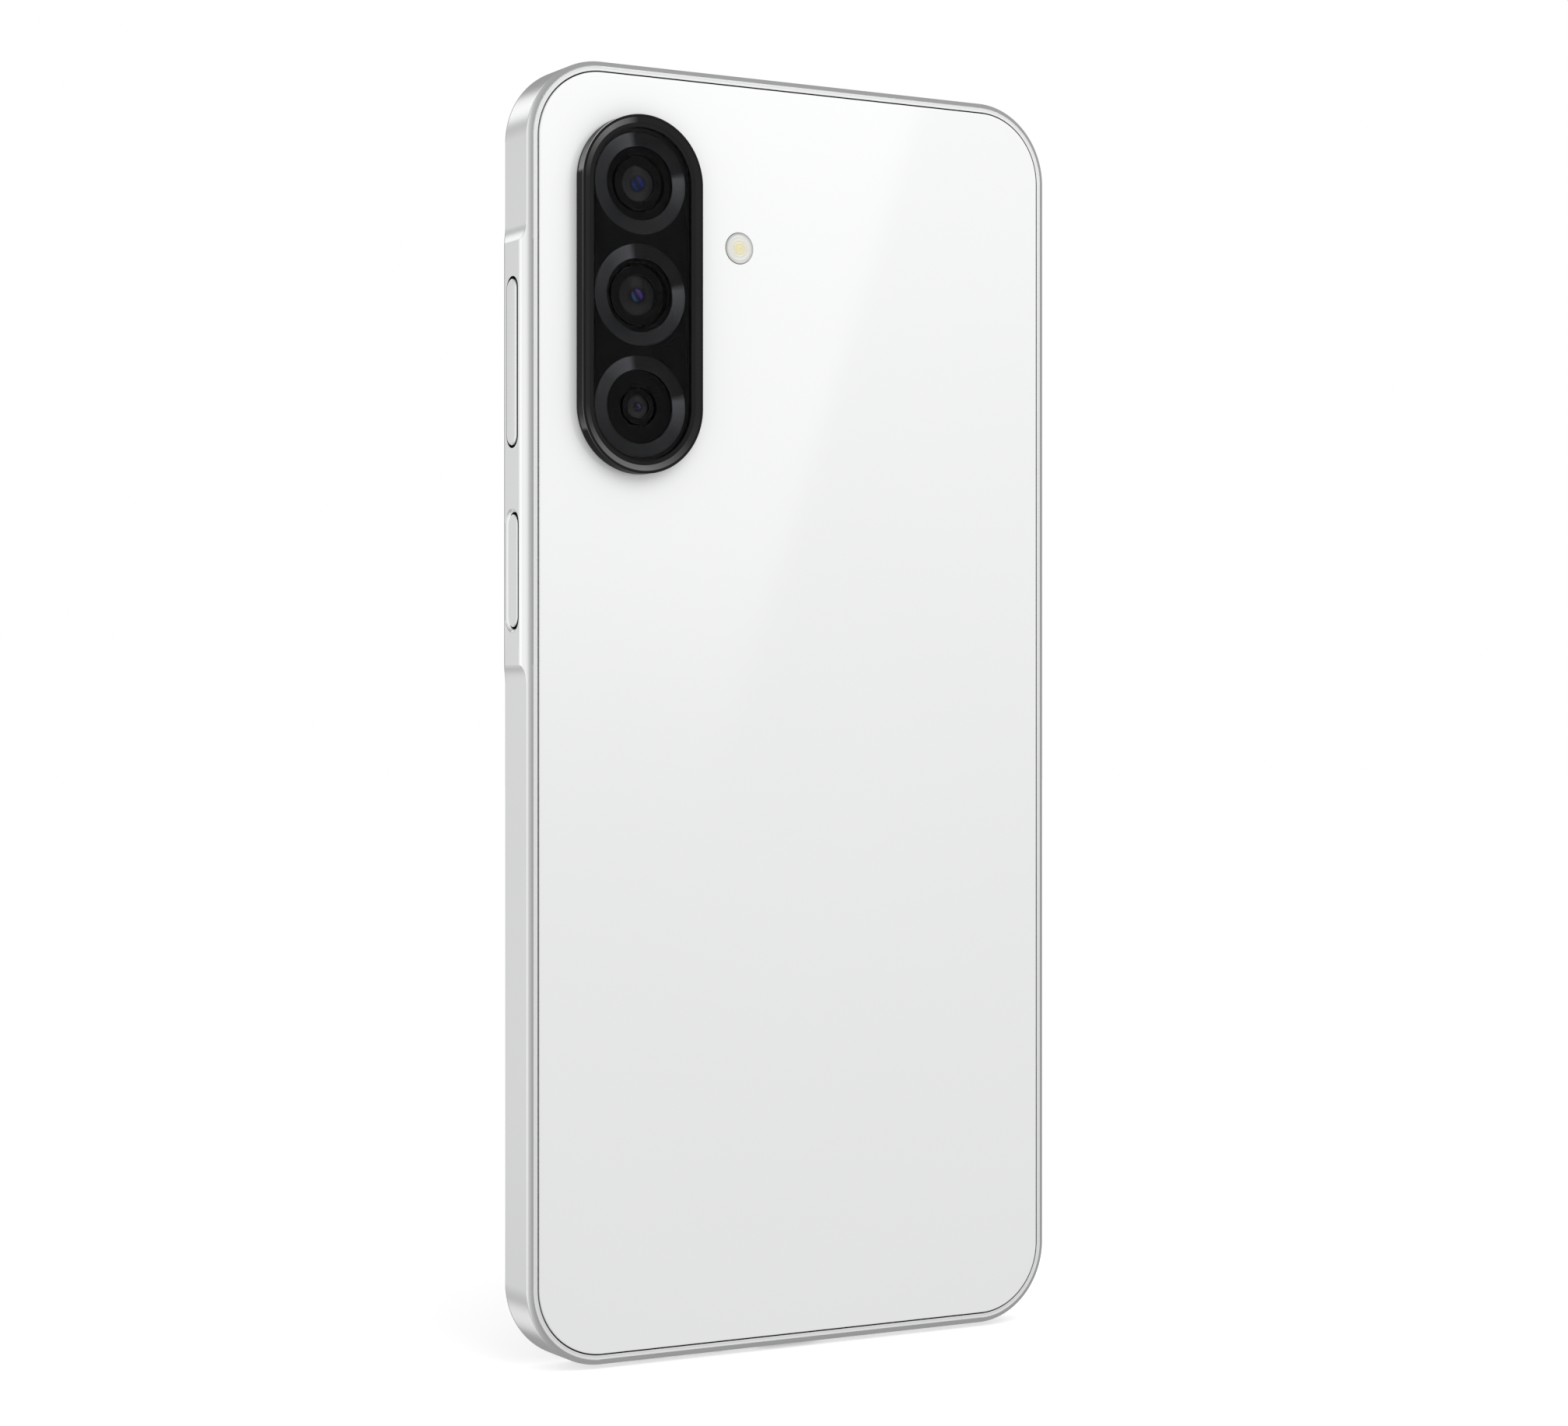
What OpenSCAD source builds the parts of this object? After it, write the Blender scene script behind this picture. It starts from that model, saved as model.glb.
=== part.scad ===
// Slab smartphone with a three-lens camera island, side keys and a card tray.
// Frame of reference: +Z towards the top edge, -Y out of the screen, +Y out of the back,
// +X to the right as seen from the screen. The origin is the middle of the bottom edge.

/* [Body] */
// Width across the two milled side flats
body_w = 77.5; // [70:0.5:95]
// Height from the bottom edge to the top edge
body_h = 164; // [150:1:200]
// Thickness from the screen glass to the rear glass
body_t = 7.7; // [7.5:0.1:9.5]
// Radius of the four corners
corner_r = 10.2; // [8:0.1:15]
// Radius of the frame's rounded edge before the sides are milled flat
edge_r = 1.8; // [1.5:0.05:1.9]
// Depth that the sides are milled flat
mill_depth = 0.55; // [0.3:0.05:0.8]
// Width of the frame from a side flat to the open inside
wall_t = 2.75; // [2.4:0.05:3.2]
// Distance from a side flat to the recess that holds each glass
rim_inset = 1.25; // [1.1:0.05:1.4]
// Visible gap between the rim and each glass
glass_gap = 0.17; // [0.1:0.01:0.3]
// How far each glass stands out of the rim
glass_proud = 0.15; // [0.05:0.01:0.2]

/* [Screen and covers] */
// Thickness of the screen glass
screen_glass_t = 0.6; // [0.4:0.05:0.7]
// Thickness of the screen panel
panel_t = 0.7; // [0.5:0.05:0.8]
// Thickness of the rear glass
rear_glass_t = 0.7; // [0.5:0.05:0.8]
// Thickness of the glue that holds each glass
glue_t = 0.2; // [0.1:0.01:0.25]
// Thickness of the metal mid plate
plate_t = 0.5; // [0.4:0.05:0.6]

/* [Camera island] */
// Width of the island
island_w = 17.1; // [15:0.1:21]
// Distance between two neighbouring cameras
camera_pitch = 14.1; // [13.6:0.1:17]
// Distance from the right side flat to the middle of the island
island_side = 15.05; // [14:0.05:19]
// Distance from the top edge to the middle camera
island_top = 29.2; // [27:0.1:36]
// How far the island stands out of the rear glass
island_proud = 1.9; // [1.2:0.1:2.6]
// Width of the island's metal rim around its glass
island_rim = 1.55; // [1.2:0.05:2]
// Outer diameter of each decorative ring
ring_d = 12.85; // [11:0.05:13]
// Inner diameter of each decorative ring
ring_bore = 9.35; // [9:0.05:10]
// Diameter of the flash window
flash_d = 3.95; // [3:0.05:4.5]

/* [Keys] */
// Length of the volume key
volume_len = 21; // [16:0.1:26]
// Length of the power key
power_len = 14.2; // [12:0.1:18]
// Width of both keys
key_w = 2.9; // [2.2:0.05:3]
// Distance from the top edge to the middle of the volume key
volume_top = 38.1; // [34:0.1:46]
// Distance between the middles of the two keys
key_pitch = 26.1; // [24:0.1:32]
// Travel of the power key
power_travel = 0.3; // [0.15:0.01:0.3]
// Tilt of the volume key each way, in degrees
volume_tilt = 1.2; // [0.5:0.1:1.3]
// Gap around each key
key_gap = 0.12; // [0.08:0.01:0.15]

/* [Card tray] */
// Distance from the top edge to the middle of the tray
tray_top = 32; // [30:0.1:38]
// Length of the tray's outer plate
tray_plate_len = 17.5; // [16.5:0.1:20]
// Depth that the tray reaches into the body
tray_depth = 26.15; // [25:0.05:29]
// Diameter of the hole for the eject pin
pin_hole_d = 1; // [0.8:0.05:1.2]

/* [Ports] */
// Width of the charging port's shell
usb_w = 8.94; // [8.94:0.02:9.2]
// Height of the charging port's shell
usb_h = 3.26; // [3.1:0.02:3.4]
// Number of loudspeaker slots
slot_count = 5; // [3:1:7]
// Diameter of the microphone holes
mic_hole_d = 1; // [0.6:0.1:1.2]

/* [Hidden] */
$fn = 48;

// Small amounts by which cutting shapes run past what they cut
over = 1;
// Clearance between two pieces that only lie side by side
loose = 0.1;
// Radial clearance of a shaft that turns or slides in a bore
running = 0.05;
// Points on a quarter of the frame's rounded edge
edge_steps = 6;

// Levels through the thickness, from the screen to the back
half_w = body_w / 2;
back_y = body_t / 2;
rim_y = back_y - glass_proud;
screen_in = -back_y + screen_glass_t;
screen_ledge = screen_in + glue_t;
panel_back = screen_in + panel_t;
plate_front = panel_back + 0.25;
plate_back = plate_front + plate_t;
rear_in = back_y - rear_glass_t;
rear_ledge = rear_in - glue_t;

// The open inside of the frame
inside_w = body_w - 2 * wall_t;
inside_h = body_h - 2 * wall_t;
inside_x = half_w - wall_t;
glass_inset = rim_inset + glass_gap;
glue_inset = glass_inset + 0.1;
panel_inset = wall_t + 0.15;

// Zones: the lower board and loudspeaker, the battery, the main board and cameras
lower_zone = 22.6;
battery_bottom = 24;
battery_top = body_h - 52;
battery_w = body_w - 15.5;
battery_front = plate_back;
battery_back = rear_ledge - 0.3;
board_bottom = battery_top + 1.5;
board_top = body_h - wall_t - 1;
board_left = -inside_x + 1;
board_front = plate_back + 0.8;
board_t = 0.7;
board_back = board_front + board_t;
shield_low = board_bottom + 3.5;
shield_high = board_top - 10.5;
can_wall = 0.15;
processor_x = -22;
processor_z = shield_low + 6;
processor_w = 14;
processor_t = 0.55;
radio_x = -3.5;
radio_z = shield_low + 4;
radio_w = 7.5;
radio_t = 0.8;
nfc_x = -14;
nfc_w = 30;
nfc_r = 5;
nfc_band = 4;
nfc_t = 0.1;
cover_front = board_back + 1.55;
upper_cover_t = 1.25;
lower_cover_t = 0.8;
flex_t = 0.12;
cable_r = 0.4;
cable_plug_r = 0.75;
display_flex_x = -28;
display_flex_w = 9;
main_flex_x = -9;
main_flex_w = 10;
main_flex_end = 2.6;
battery_flex_x = -24;
battery_flex_w = 12;
battery_flex_end = 2.5;
battery_plug_t = 0.8;

// Camera island
island_x = half_w - island_side;
island_z = body_h - island_top;
island_h = island_w + 2 * camera_pitch;
island_back = back_y + island_proud;
island_glass_t = 0.8;
island_glass_back = island_back - 0.23;
island_glass_front = island_glass_back - island_glass_t;
window_w = island_w - 2 * island_rim;
window_ledge = 0.45;
neck_w = island_w - 1.7;
neck_front = rear_in - 0.1;
ring_t = 0.5;
ring_front = island_glass_front - ring_t;
gasket_front = rear_in - 0.15;
module_back = gasket_front;
module_front = plate_back + 0.05;
wide_size = 11;
wide_barrel_d = 7.5;
wide_travel = 0.25;
wide_barrel_back = ring_front - wide_travel - 0.05;
ultrawide_size = 8.6;
ultrawide_barrel_d = 6.6;
macro_size = 6.6;
macro_barrel_d = 4.4;
// Diameters of the stepped mouths that hold the front lenses, their depth and the lenses' dome
wide_seat_d = 5.2;
ultrawide_seat_d = 4.6;
macro_seat_d = 3;
seat_depth = 0.7;
lens_dome = 0.3;
tube_floor = 0.6;
board_right = island_x - wide_size / 2 - 5.8;

// Flash
flash_x = island_x - 14.85;
flash_z = island_z + 7;
led_w = 2.5;

// Front camera, earpiece and light sensor
front_z = body_h - 6.6;
front_size = 5.6;
front_barrel_d = 3.4;
front_lens_r = 1.1;
light_x = 6.2;
light_z = body_h - 10.8;
light_hole = 1.6;
ear_x = -12;
ear_w = 12;
ear_h = 6.8;
ear_z = body_h - wall_t - 0.65 - ear_h / 2;
ear_slot_w = 13;
ear_slot_t = 0.4;

// Keys
volume_z = body_h - volume_top;
power_z = volume_z - key_pitch;
key_margin = 4.7;
ridge_bottom = power_z - power_len / 2 - key_margin;
ridge_top = volume_z + volume_len / 2 + key_margin - 0.1;
ridge_x = half_w + mill_depth;
ramp_r = 4.5;
ramp_sink = 0.01;
ramp_run = sqrt(pow(ramp_r, 2) - pow(ramp_r - ramp_sink - mill_depth, 2));
key_face = ridge_x + 0.15;
dish_depth = 0.3;
dish_margin = 0.7;
power_face = ridge_x - 0.15;
sensor_w = 1.9;
sensor_len = 10;
flange_out = ridge_x - 1.85;
flange_in = flange_out - 0.6;
sensor_out = power_face - 0.3;
sensor_in = flange_in + 0.3;
shoulder = flange_out + 0.35;
flange_side = 0.45;
flange_end = 0.9;
plunger_tip = inside_x - 0.05;
plunger_r = 0.6;
dome_r = 1.3;
dome_out = plunger_tip - 0.33;
dome_t = 0.25;
strip_out = dome_out - dome_t;
strip_t = 0.15;
strip_w = 3;
strip_bottom = ridge_bottom + 1.5;
strip_top = ridge_top - 1.5;
dome_offset = volume_len / 2 - 3.65;
rocker_r = 0.5;
rocker_x = strip_out + 0.05 + rocker_r;
clip_side = strip_w / 2 + 0.2;
clip_h = 1.2;

// Card tray and its ejector
tray_z = body_h - tray_top;
tray_y = board_back + 0.7;
tray_t = 0.8;
tray_w = 12.6;
tray_plate_t = 1.4;
tray_plate_w = 2.4;
tray_gap = 0.08;
tray_tail = -half_w + tray_depth;
// Card pockets: [distance from the plate, length, width]
pockets = [[1.5, 9.2, 10.9], [11.9, 11.6, 10.9]];
pocket_lip = 0.7;
pocket_floor = 0.15;
rod_r = 0.45;
rod_z = tray_z + tray_w / 2 + 1;
rod_travel = 1.2;
lever_arm = 3.2;
lever_tail = 5;
lever_t = 0.9;
lever_x = tray_tail + 2.7;
lever_z = rod_z - lever_arm;
lever_pin_r = 0.5;
lever_eye = 1.3;
rod_out = -half_w + tray_plate_t + 0.1;
rod_in = lever_x - lever_t / 2 - 0.1;
socket_wall = 0.15;
socket_out = -inside_x + 0.1;
socket_in = lever_x + 2.3;
socket_low = tray_z - tray_w / 2 - 0.4;
socket_high = rod_z + rod_r + 0.6;

// Lower zone
speaker_x = 19;
speaker_w = 23;
speaker_low = wall_t + 1.25;
speaker_high = lower_zone - 1.6;
speaker_back = usb_h / 2 + 0.07;
speaker_wall = 0.4;
magnet = [7, 1.8, 5];
diaphragm_z = (speaker_low + speaker_high) / 2;
diaphragm_y = speaker_back - 1.1;
diaphragm_w = 18;
diaphragm_h = 12;
coil_drop = 0.8;
coil_w = 8.4;
coil_h = 6.4;
coil_wall = 0.4;
slot_w = 2.2;
slot_h = 1.2;
slot_pitch = 2.7;
slot_x = 16;
mesh_w = slot_count * slot_pitch + 0.6;
mesh_h = slot_h + 0.5;
mesh_z = wall_t - 0.75;
mesh_t = 0.15;
motor_x = -inside_x + 10;
motor_z = 13;
motor_r = 5;
motor_h = 3;
motor_wall = 0.3;
motor_hub_r = 1.2;
motor_gap = 0.3;
shaft_r = 0.4;
usb_sink = 0.1;
usb_depth = 7.6;
usb_wall_x = 0.3;
usb_wall_y = 0.35;
tongue_w = 6.7;
tongue_t = 0.7;
tongue_sink = 1;
port_floor = 0.3;
sub_right = speaker_x - speaker_w / 2 - 0.6;
mic_w = 3;
mic_h = 2.5;
mic_t = 1;
mic_bottom_x = -12;
mic_top_x = -26;
mic_y = board_back + 0.5;

// Screws: [x, z] in the upper and the lower zone
screw_r = 0.58;
screw_head_r = 1.1;
screw_head_t = 0.4;
boss_r = 1.6;
upper_screws = [
    [board_left + 3.4, board_top - 3.6],
    [board_left + 3.4, board_bottom + 3.5],
    [board_right - 2.4, board_top - 3.7],
    [board_right - 2.4, board_bottom + 3.5]
];
lower_screws = [
    [-inside_x + 3.2, lower_zone - 3],
    [-inside_x + 5, wall_t + 5],
    [-14, lower_zone - 3],
    [4.4, lower_zone - 3],
    [inside_x - 3.1, lower_zone - 3],
    [inside_x - 3.1, wall_t + 5.2]
];

// ---------------------------------------------------------------- shared shapes

// Rounds a length to a micron, so that neighbouring sweeps of one section meet exactly
function snap(v) = round(v * 1000) / 1000;

// Points on an arc about (cx, cy) from angle a0 to a1
function arc_points(cx, cy, r, a0, a1, n) =
    [for (i = [0:n], a = a0 + (a1 - a0) * i / n) [snap(cx + r * cos(a)), snap(cy + r * sin(a))]];

// Flat shape in the plane of the phone, extruded through the thickness from y0 to y1
module through(y0, y1) {
    translate([0, y1, 0]) rotate([90, 0, 0]) linear_extrude(y1 - y0) children();
}

// Rectangle with round corners, centred
module round_rect(w, h, r) {
    square([w - 2 * r, h], center = true);
    square([w, h - 2 * r], center = true);
    for (sx = [-1, 1], sy = [-1, 1])
        translate([sx * (w / 2 - r), sy * (h / 2 - r)]) circle(r);
}

// Rounded slab of the phone's outline, drawn in by inset
module slab(inset, y0, y1) {
    translate([0, 0, body_h / 2]) through(y0, y1)
        round_rect(body_w - 2 * inset, body_h - 2 * inset, corner_r - inset);
}

// Upright stadium of width w and height h, centred
module pill(w, h) {
    square([w, h - w], center = true);
    for (s = [-1, 1]) translate([0, s * (h - w) / 2]) circle(w / 2);
}

// Box given by its two corners
module block(low, high) {
    translate(low) cube(high - low);
}

// Disc with its axis along Y
module disc(x, z, r, y0, y1) {
    translate([x, y1, z]) rotate([90, 0, 0]) cylinder(r = r, h = y1 - y0);
}

// Upright slab of the camera island's outline, drawn in by inset
module island(inset, y0, y1) {
    translate([island_x, 0, island_z]) through(y0, y1)
        pill(island_w - 2 * inset, island_h - 2 * inset);
}

// Stadium along Z on the right side, extruded from x0 to x1
module side_pill(z, w, len, x0, x1) {
    translate([x0, 0, z]) rotate([90, 0, 90]) linear_extrude(x1 - x0) pill(w, len);
}

// ---------------------------------------------------------------- frame and plates

// Section of the frame: x outwards from the side flat, y through the thickness
frame_section = concat(
    arc_points(mill_depth - edge_r, rim_y - edge_r, edge_r, 0, 90, edge_steps),
    [[-rim_inset, rim_y], [-rim_inset, rear_ledge], [-wall_t, rear_ledge],
     [-wall_t, screen_ledge], [-rim_inset, screen_ledge], [-rim_inset, -rim_y]],
    arc_points(mill_depth - edge_r, edge_r - rim_y, edge_r, -90, 0, edge_steps)
);

// The section swept along the four sides and round the four corners
module frame_ring() {
    for (s = [-1, 1]) {
        translate([s * half_w, 0, corner_r])
            mirror([s < 0 ? 1 : 0, 0, 0])
                linear_extrude(body_h - 2 * corner_r) polygon(frame_section);
        translate([corner_r - half_w, 0, body_h / 2 + s * body_h / 2])
            mirror([0, 0, s < 0 ? 1 : 0])
                rotate([0, 90, 0]) linear_extrude(body_w - 2 * corner_r)
                    polygon([for (p = frame_section) [-p[0], p[1]]]);
    }
    for (sx = [-1, 1], sz = [-1, 1])
        translate([sx * (half_w - corner_r), 0, body_h / 2 + sz * (body_h / 2 - corner_r)])
            mirror([sx < 0 ? 1 : 0, 0, 0]) mirror([0, 0, sz < 0 ? 1 : 0])
                rotate([90, 0, 0]) rotate_extrude(angle = 90)
                    polygon([for (p = frame_section) [corner_r + p[0], -p[1]]]);
}

// The raised stretch around the keys, with a hollow ramp outside each end
module key_ridge() {
    difference() {
        block([half_w - 2, -body_t, ridge_bottom - ramp_run], [ridge_x + over, body_t, ridge_top + ramp_run]);
        for (end = [[ridge_bottom, -1], [ridge_top, 1]])
            translate([half_w + ramp_r - ramp_sink, body_t + over, end[0] + end[1] * ramp_run])
                rotate([90, 0, 0]) cylinder(r = ramp_r, h = 2 * (body_t + over));
    }
}

// Openings for one key: the visible slot and the wider pocket behind it
module key_opening(z, len) {
    side_pill(z, key_w + 2 * key_gap, len + 2 * key_gap, inside_x - over, ridge_x + over);
    side_pill(z, key_w + 2 * (flange_side + loose), len + 2 * (flange_end + loose),
              inside_x - over, shoulder);
}

module side_frame() {
    color("whitesmoke") difference() {
        union() {
            intersection() {
                frame_ring();
                union() {
                    slab(0, -body_t, body_t);
                    key_ridge();
                }
            }
            // Clips that hold the key retainer
            for (z = [strip_bottom - clip_h - loose, strip_top + loose])
                block([strip_out - strip_t - 0.6, -clip_side, z], [inside_x + 0.5, clip_side, z + clip_h]);
        }
        key_opening(volume_z, volume_len);
        key_opening(power_z, power_len);
        side_pill(power_z, key_w + 2 * dish_margin, power_len + 2 * dish_margin,
                  ridge_x - dish_depth, ridge_x + over);
        // Card tray
        block([-half_w - over, tray_y - tray_plate_w / 2 - tray_gap, tray_z - tray_plate_len / 2 - tray_gap],
              [tray_plate_t + 0.05 - half_w, tray_y + tray_plate_w / 2 + tray_gap,
               tray_z + tray_plate_len / 2 + tray_gap]);
        block([-half_w, tray_y - 0.6, tray_z - tray_w / 2 - 0.2],
              [over - inside_x, tray_y + 0.6, rod_z + rod_r + 0.15]);
        // Charging port
        translate([0, 0, -over]) linear_extrude(wall_t + 2 * over)
            rotate(90) pill(usb_h + 2 * loose, usb_w + 2 * loose);
        // Loudspeaker slots and the pocket for their mesh
        for (i = [0:slot_count - 1])
            translate([slot_x + (i - (slot_count - 1) / 2) * slot_pitch, 0, -over])
                linear_extrude(wall_t + 2 * over) rotate(90) pill(slot_h, slot_w);
        block([slot_x - mesh_w / 2, -mesh_h / 2, mesh_z], [slot_x + mesh_w / 2, mesh_h / 2, wall_t + over]);
        // Microphone holes
        translate([mic_bottom_x, mic_y, -over]) cylinder(d = mic_hole_d, h = wall_t + 2 * over);
        translate([mic_top_x, mic_y, body_h - wall_t - over])
            cylinder(d = mic_hole_d, h = wall_t + 2 * over);
        // Earpiece slot in the front rim, and its channel to the inside
        block([-ear_slot_w / 2, -body_t, body_h - rim_inset - over],
              [ear_slot_w / 2, screen_ledge + 0.3, body_h - rim_inset + ear_slot_t]);
        block([-ear_slot_w / 2, screen_ledge + 0.15, body_h - wall_t - over],
              [ear_slot_w / 2, plate_back + 0.3, body_h - rim_inset + ear_slot_t]);
    }
}

module mid_plate() {
    color("silver") difference() {
        union() {
            slab(wall_t, plate_front, plate_back);
            for (p = concat(upper_screws, lower_screws)) disc(p[0], p[1], boss_r, plate_back, cover_front);
        }
        for (p = concat(upper_screws, lower_screws))
            disc(p[0], p[1], screw_r + 0.02, plate_back, cover_front + over);
        translate([0, 0, front_z]) through(plate_front - over, plate_back + over)
            square(front_size + 2 * loose, center = true);
        block([display_flex_x - 0.2, plate_front - over, lower_zone + 0.1],
              [display_flex_x + display_flex_w + 0.2, plate_back + over, battery_bottom - 0.1]);
        block([light_x, plate_front - over, light_z],
              [light_x + light_hole, plate_back + over, light_z + light_hole]);
    }
}

module rear_cover() {
    color("white") difference() {
        slab(glass_inset, rear_in, back_y);
        translate([island_x, 0, island_z]) through(rear_in - over, back_y + over)
            pill(neck_w + 2 * loose, neck_w + 2 * loose + 2 * camera_pitch);
        disc(flash_x, flash_z, flash_d / 2 + 0.06, rear_in - over, back_y + over);
    }
}

module rear_cover_adhesive() {
    color("black") difference() {
        slab(glue_inset, rear_ledge, rear_in);
        slab(wall_t - 0.15, rear_ledge - over, rear_in + over);
    }
}

// ---------------------------------------------------------------- screen

module display_glass() {
    color("black") slab(glass_inset, -back_y, screen_in);
}

module display_panel() {
    color([0.05, 0.05, 0.07]) difference() {
        slab(panel_inset, screen_in, panel_back);
        disc(0, front_z, front_barrel_d / 2 + 0.5, screen_in - over, panel_back + over);
        block([-front_barrel_d / 2 - 0.5, screen_in - over, front_z],
              [front_barrel_d / 2 + 0.5, panel_back + over, body_h]);
    }
}

module display_adhesive() {
    color("black") difference() {
        slab(glue_inset, screen_in, screen_ledge);
        slab(wall_t, screen_in - over, screen_ledge + over);
        // Left open under the earpiece slot
        block([-ear_slot_w / 2, screen_in - over, body_h - wall_t],
              [ear_slot_w / 2, screen_ledge + over, body_h]);
    }
}

// Ribbon from the back of the panel, through the mid plate, to the lower board
module display_flex() {
    y0 = panel_back;
    y1 = board_back;
    z0 = lower_zone - 8;
    z1 = battery_bottom - 0.3;
    board_end = lower_zone - 3.2;
    color("orange") translate([display_flex_x, 0, 0]) rotate([90, 0, 90]) linear_extrude(display_flex_w)
        polygon([
            [y0, z0], [y0, z1], [y1 + flex_t, z1], [y1 + flex_t, board_end],
            [y1, board_end], [y1, z1 - flex_t], [y0 + flex_t, z1 - flex_t], [y0 + flex_t, z0]
        ]);
}

// ---------------------------------------------------------------- rear cameras

function camera_z(i) = island_z + i * camera_pitch;

module camera_bezel() {
    color([0.12, 0.12, 0.13]) difference() {
        union() {
            island(0, back_y, island_back);
            translate([island_x, 0, island_z]) through(neck_front, back_y)
                pill(neck_w, neck_w + 2 * camera_pitch);
        }
        island(island_rim, island_glass_front, island_back + over);
        island(island_rim + window_ledge, neck_front - over, island_back);
    }
}

module camera_glass() {
    color("black") island(island_rim + 0.03, island_glass_front, island_glass_back);
}

// One decorative ring with a shallow cone on its face
module camera_ring(i) {
    color([0.3, 0.3, 0.32]) translate([island_x, ring_front, camera_z(i)])
        rotate([-90, 0, 0]) rotate_extrude()
            polygon([
                [ring_bore / 2, 0], [ring_d / 2, 0], [ring_d / 2, ring_t], [ring_bore / 2, ring_t - 0.2]
            ]);
}

module camera_ring_top() {
    camera_ring(1);
}

module camera_ring_middle() {
    camera_ring(0);
}

module camera_ring_bottom() {
    camera_ring(-1);
}

module camera_gasket() {
    color([0.1, 0.1, 0.1]) difference() {
        island(island_rim + window_ledge + loose, gasket_front, ring_front);
        for (hole = [[1, ultrawide_barrel_d], [0, wide_barrel_d], [-1, macro_barrel_d]])
            disc(island_x, camera_z(hole[0]), hole[1] / 2 + 0.4, gasket_front - over, ring_front + over);
    }
}

// Square camera module with its front against the mid plate
module camera_box(i, size, front) {
    translate([island_x, 0, camera_z(i)]) through(front, module_back)
        square(size, center = true);
}

module wide_camera_housing() {
    color([0.15, 0.15, 0.16]) difference() {
        camera_box(0, wide_size, module_front);
        disc(island_x, camera_z(0), wide_barrel_d / 2 + running, module_front + 1.2, module_back + over);
    }
}

// Lens tube with a stepped mouth for its front lens
module lens_tube(i, d, y0, y1, seat_d) {
    difference() {
        disc(island_x, camera_z(i), d / 2, y0, y1);
        disc(island_x, camera_z(i), seat_d / 2, y1 - seat_depth, y1 + over);
        disc(island_x, camera_z(i), seat_d / 2 - 0.5, y0 + tube_floor, y1);
    }
}

// Front lens: a disc with a domed face, seated in its tube
module front_lens(i, y1, seat_d) {
    dome_r = (pow(seat_d / 2, 2) + pow(lens_dome, 2)) / (2 * lens_dome);
    rim_a = acos(seat_d / 2 / dome_r);
    dome = arc_points(0, seat_depth - dome_r, dome_r, rim_a, 90, 6);
    color([0.1, 0.12, 0.25]) translate([island_x, y1 - seat_depth, camera_z(i)])
        rotate([-90, 0, 0]) rotate_extrude() polygon(concat([[0, 0], [seat_d / 2, 0]], dome));
}

module wide_camera_barrel() {
    color([0.08, 0.08, 0.08])
        lens_tube(0, wide_barrel_d, module_front + 1.5, wide_barrel_back, wide_seat_d);
}

module wide_camera_lens() {
    front_lens(0, wide_barrel_back, wide_seat_d);
}

module ultrawide_camera() {
    color([0.15, 0.15, 0.16]) union() {
        camera_box(1, ultrawide_size, module_front);
        lens_tube(1, ultrawide_barrel_d, module_back, ring_front - 0.1, ultrawide_seat_d);
    }
}

module ultrawide_lens() {
    front_lens(1, ring_front - 0.1, ultrawide_seat_d);
}

module macro_camera() {
    color([0.15, 0.15, 0.16]) union() {
        camera_box(-1, macro_size, module_back - 3);
        lens_tube(-1, macro_barrel_d, module_back, ring_front - 0.1, macro_seat_d);
    }
}

module macro_lens() {
    front_lens(-1, ring_front - 0.1, macro_seat_d);
}

// ---------------------------------------------------------------- front camera and flash

module front_camera() {
    color([0.1, 0.1, 0.1]) difference() {
        union() {
            translate([0, 0, front_z]) through(plate_front + 0.05, board_back + 1.3)
                square(front_size, center = true);
            disc(0, front_z, front_barrel_d / 2, screen_in + 0.05, plate_front + 0.05);
        }
        disc(0, front_z, front_lens_r, screen_in - over, screen_in + 0.5);
    }
}

module front_camera_lens() {
    color([0.1, 0.12, 0.25]) disc(0, front_z, front_lens_r, screen_in + 0.1, screen_in + 0.5);
}

module flash_lens() {
    color("lightyellow") disc(flash_x, flash_z, flash_d / 2, rear_in - 0.2, back_y + 0.05);
}

module flash_led() {
    color("gold") block([flash_x - led_w / 2, cover_front + loose, flash_z - led_w / 2],
                        [flash_x + led_w / 2, rear_in - 0.2, flash_z + led_w / 2]);
}

// ---------------------------------------------------------------- keys

// Key cap with its inner flange
module key_cap(z, len, face) {
    side_pill(z, key_w, len, flange_out, face);
    side_pill(z, key_w + 2 * flange_side, len + 2 * flange_end, flange_in, flange_out);
}

// Small post that presses a dome
module plunger(z) {
    translate([plunger_tip, 0, z]) rotate([0, 90, 0]) cylinder(r = plunger_r, h = flange_in - plunger_tip);
}

// The key rocks on a round-ended rib in its middle, which bears on the key strip
module volume_key() {
    color("white") union() {
        key_cap(volume_z, volume_len, key_face);
        block([rocker_x, -key_w / 2, volume_z - rocker_r], [flange_in, key_w / 2, volume_z + rocker_r]);
        disc(rocker_x, volume_z, rocker_r, -key_w / 2, key_w / 2);
        for (s = [-1, 1]) plunger(volume_z + s * dome_offset);
    }
}

module power_key() {
    color("white") difference() {
        union() {
            key_cap(power_z, power_len, power_face);
            plunger(power_z);
        }
        fingerprint_sensor();
    }
}

module fingerprint_sensor() {
    color([0.2, 0.2, 0.2]) block([sensor_in, -sensor_w / 2, power_z - sensor_len / 2],
                                 [sensor_out, sensor_w / 2, power_z + sensor_len / 2]);
}

module key_flex() {
    color("orange") union() {
        block([strip_out - strip_t, -strip_w / 2, strip_bottom], [strip_out, strip_w / 2, strip_top]);
        for (z = [volume_z + dome_offset, volume_z - dome_offset, power_z])
            translate([strip_out, 0, z]) rotate([0, 90, 0]) cylinder(r = dome_r, h = dome_t);
    }
}

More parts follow.
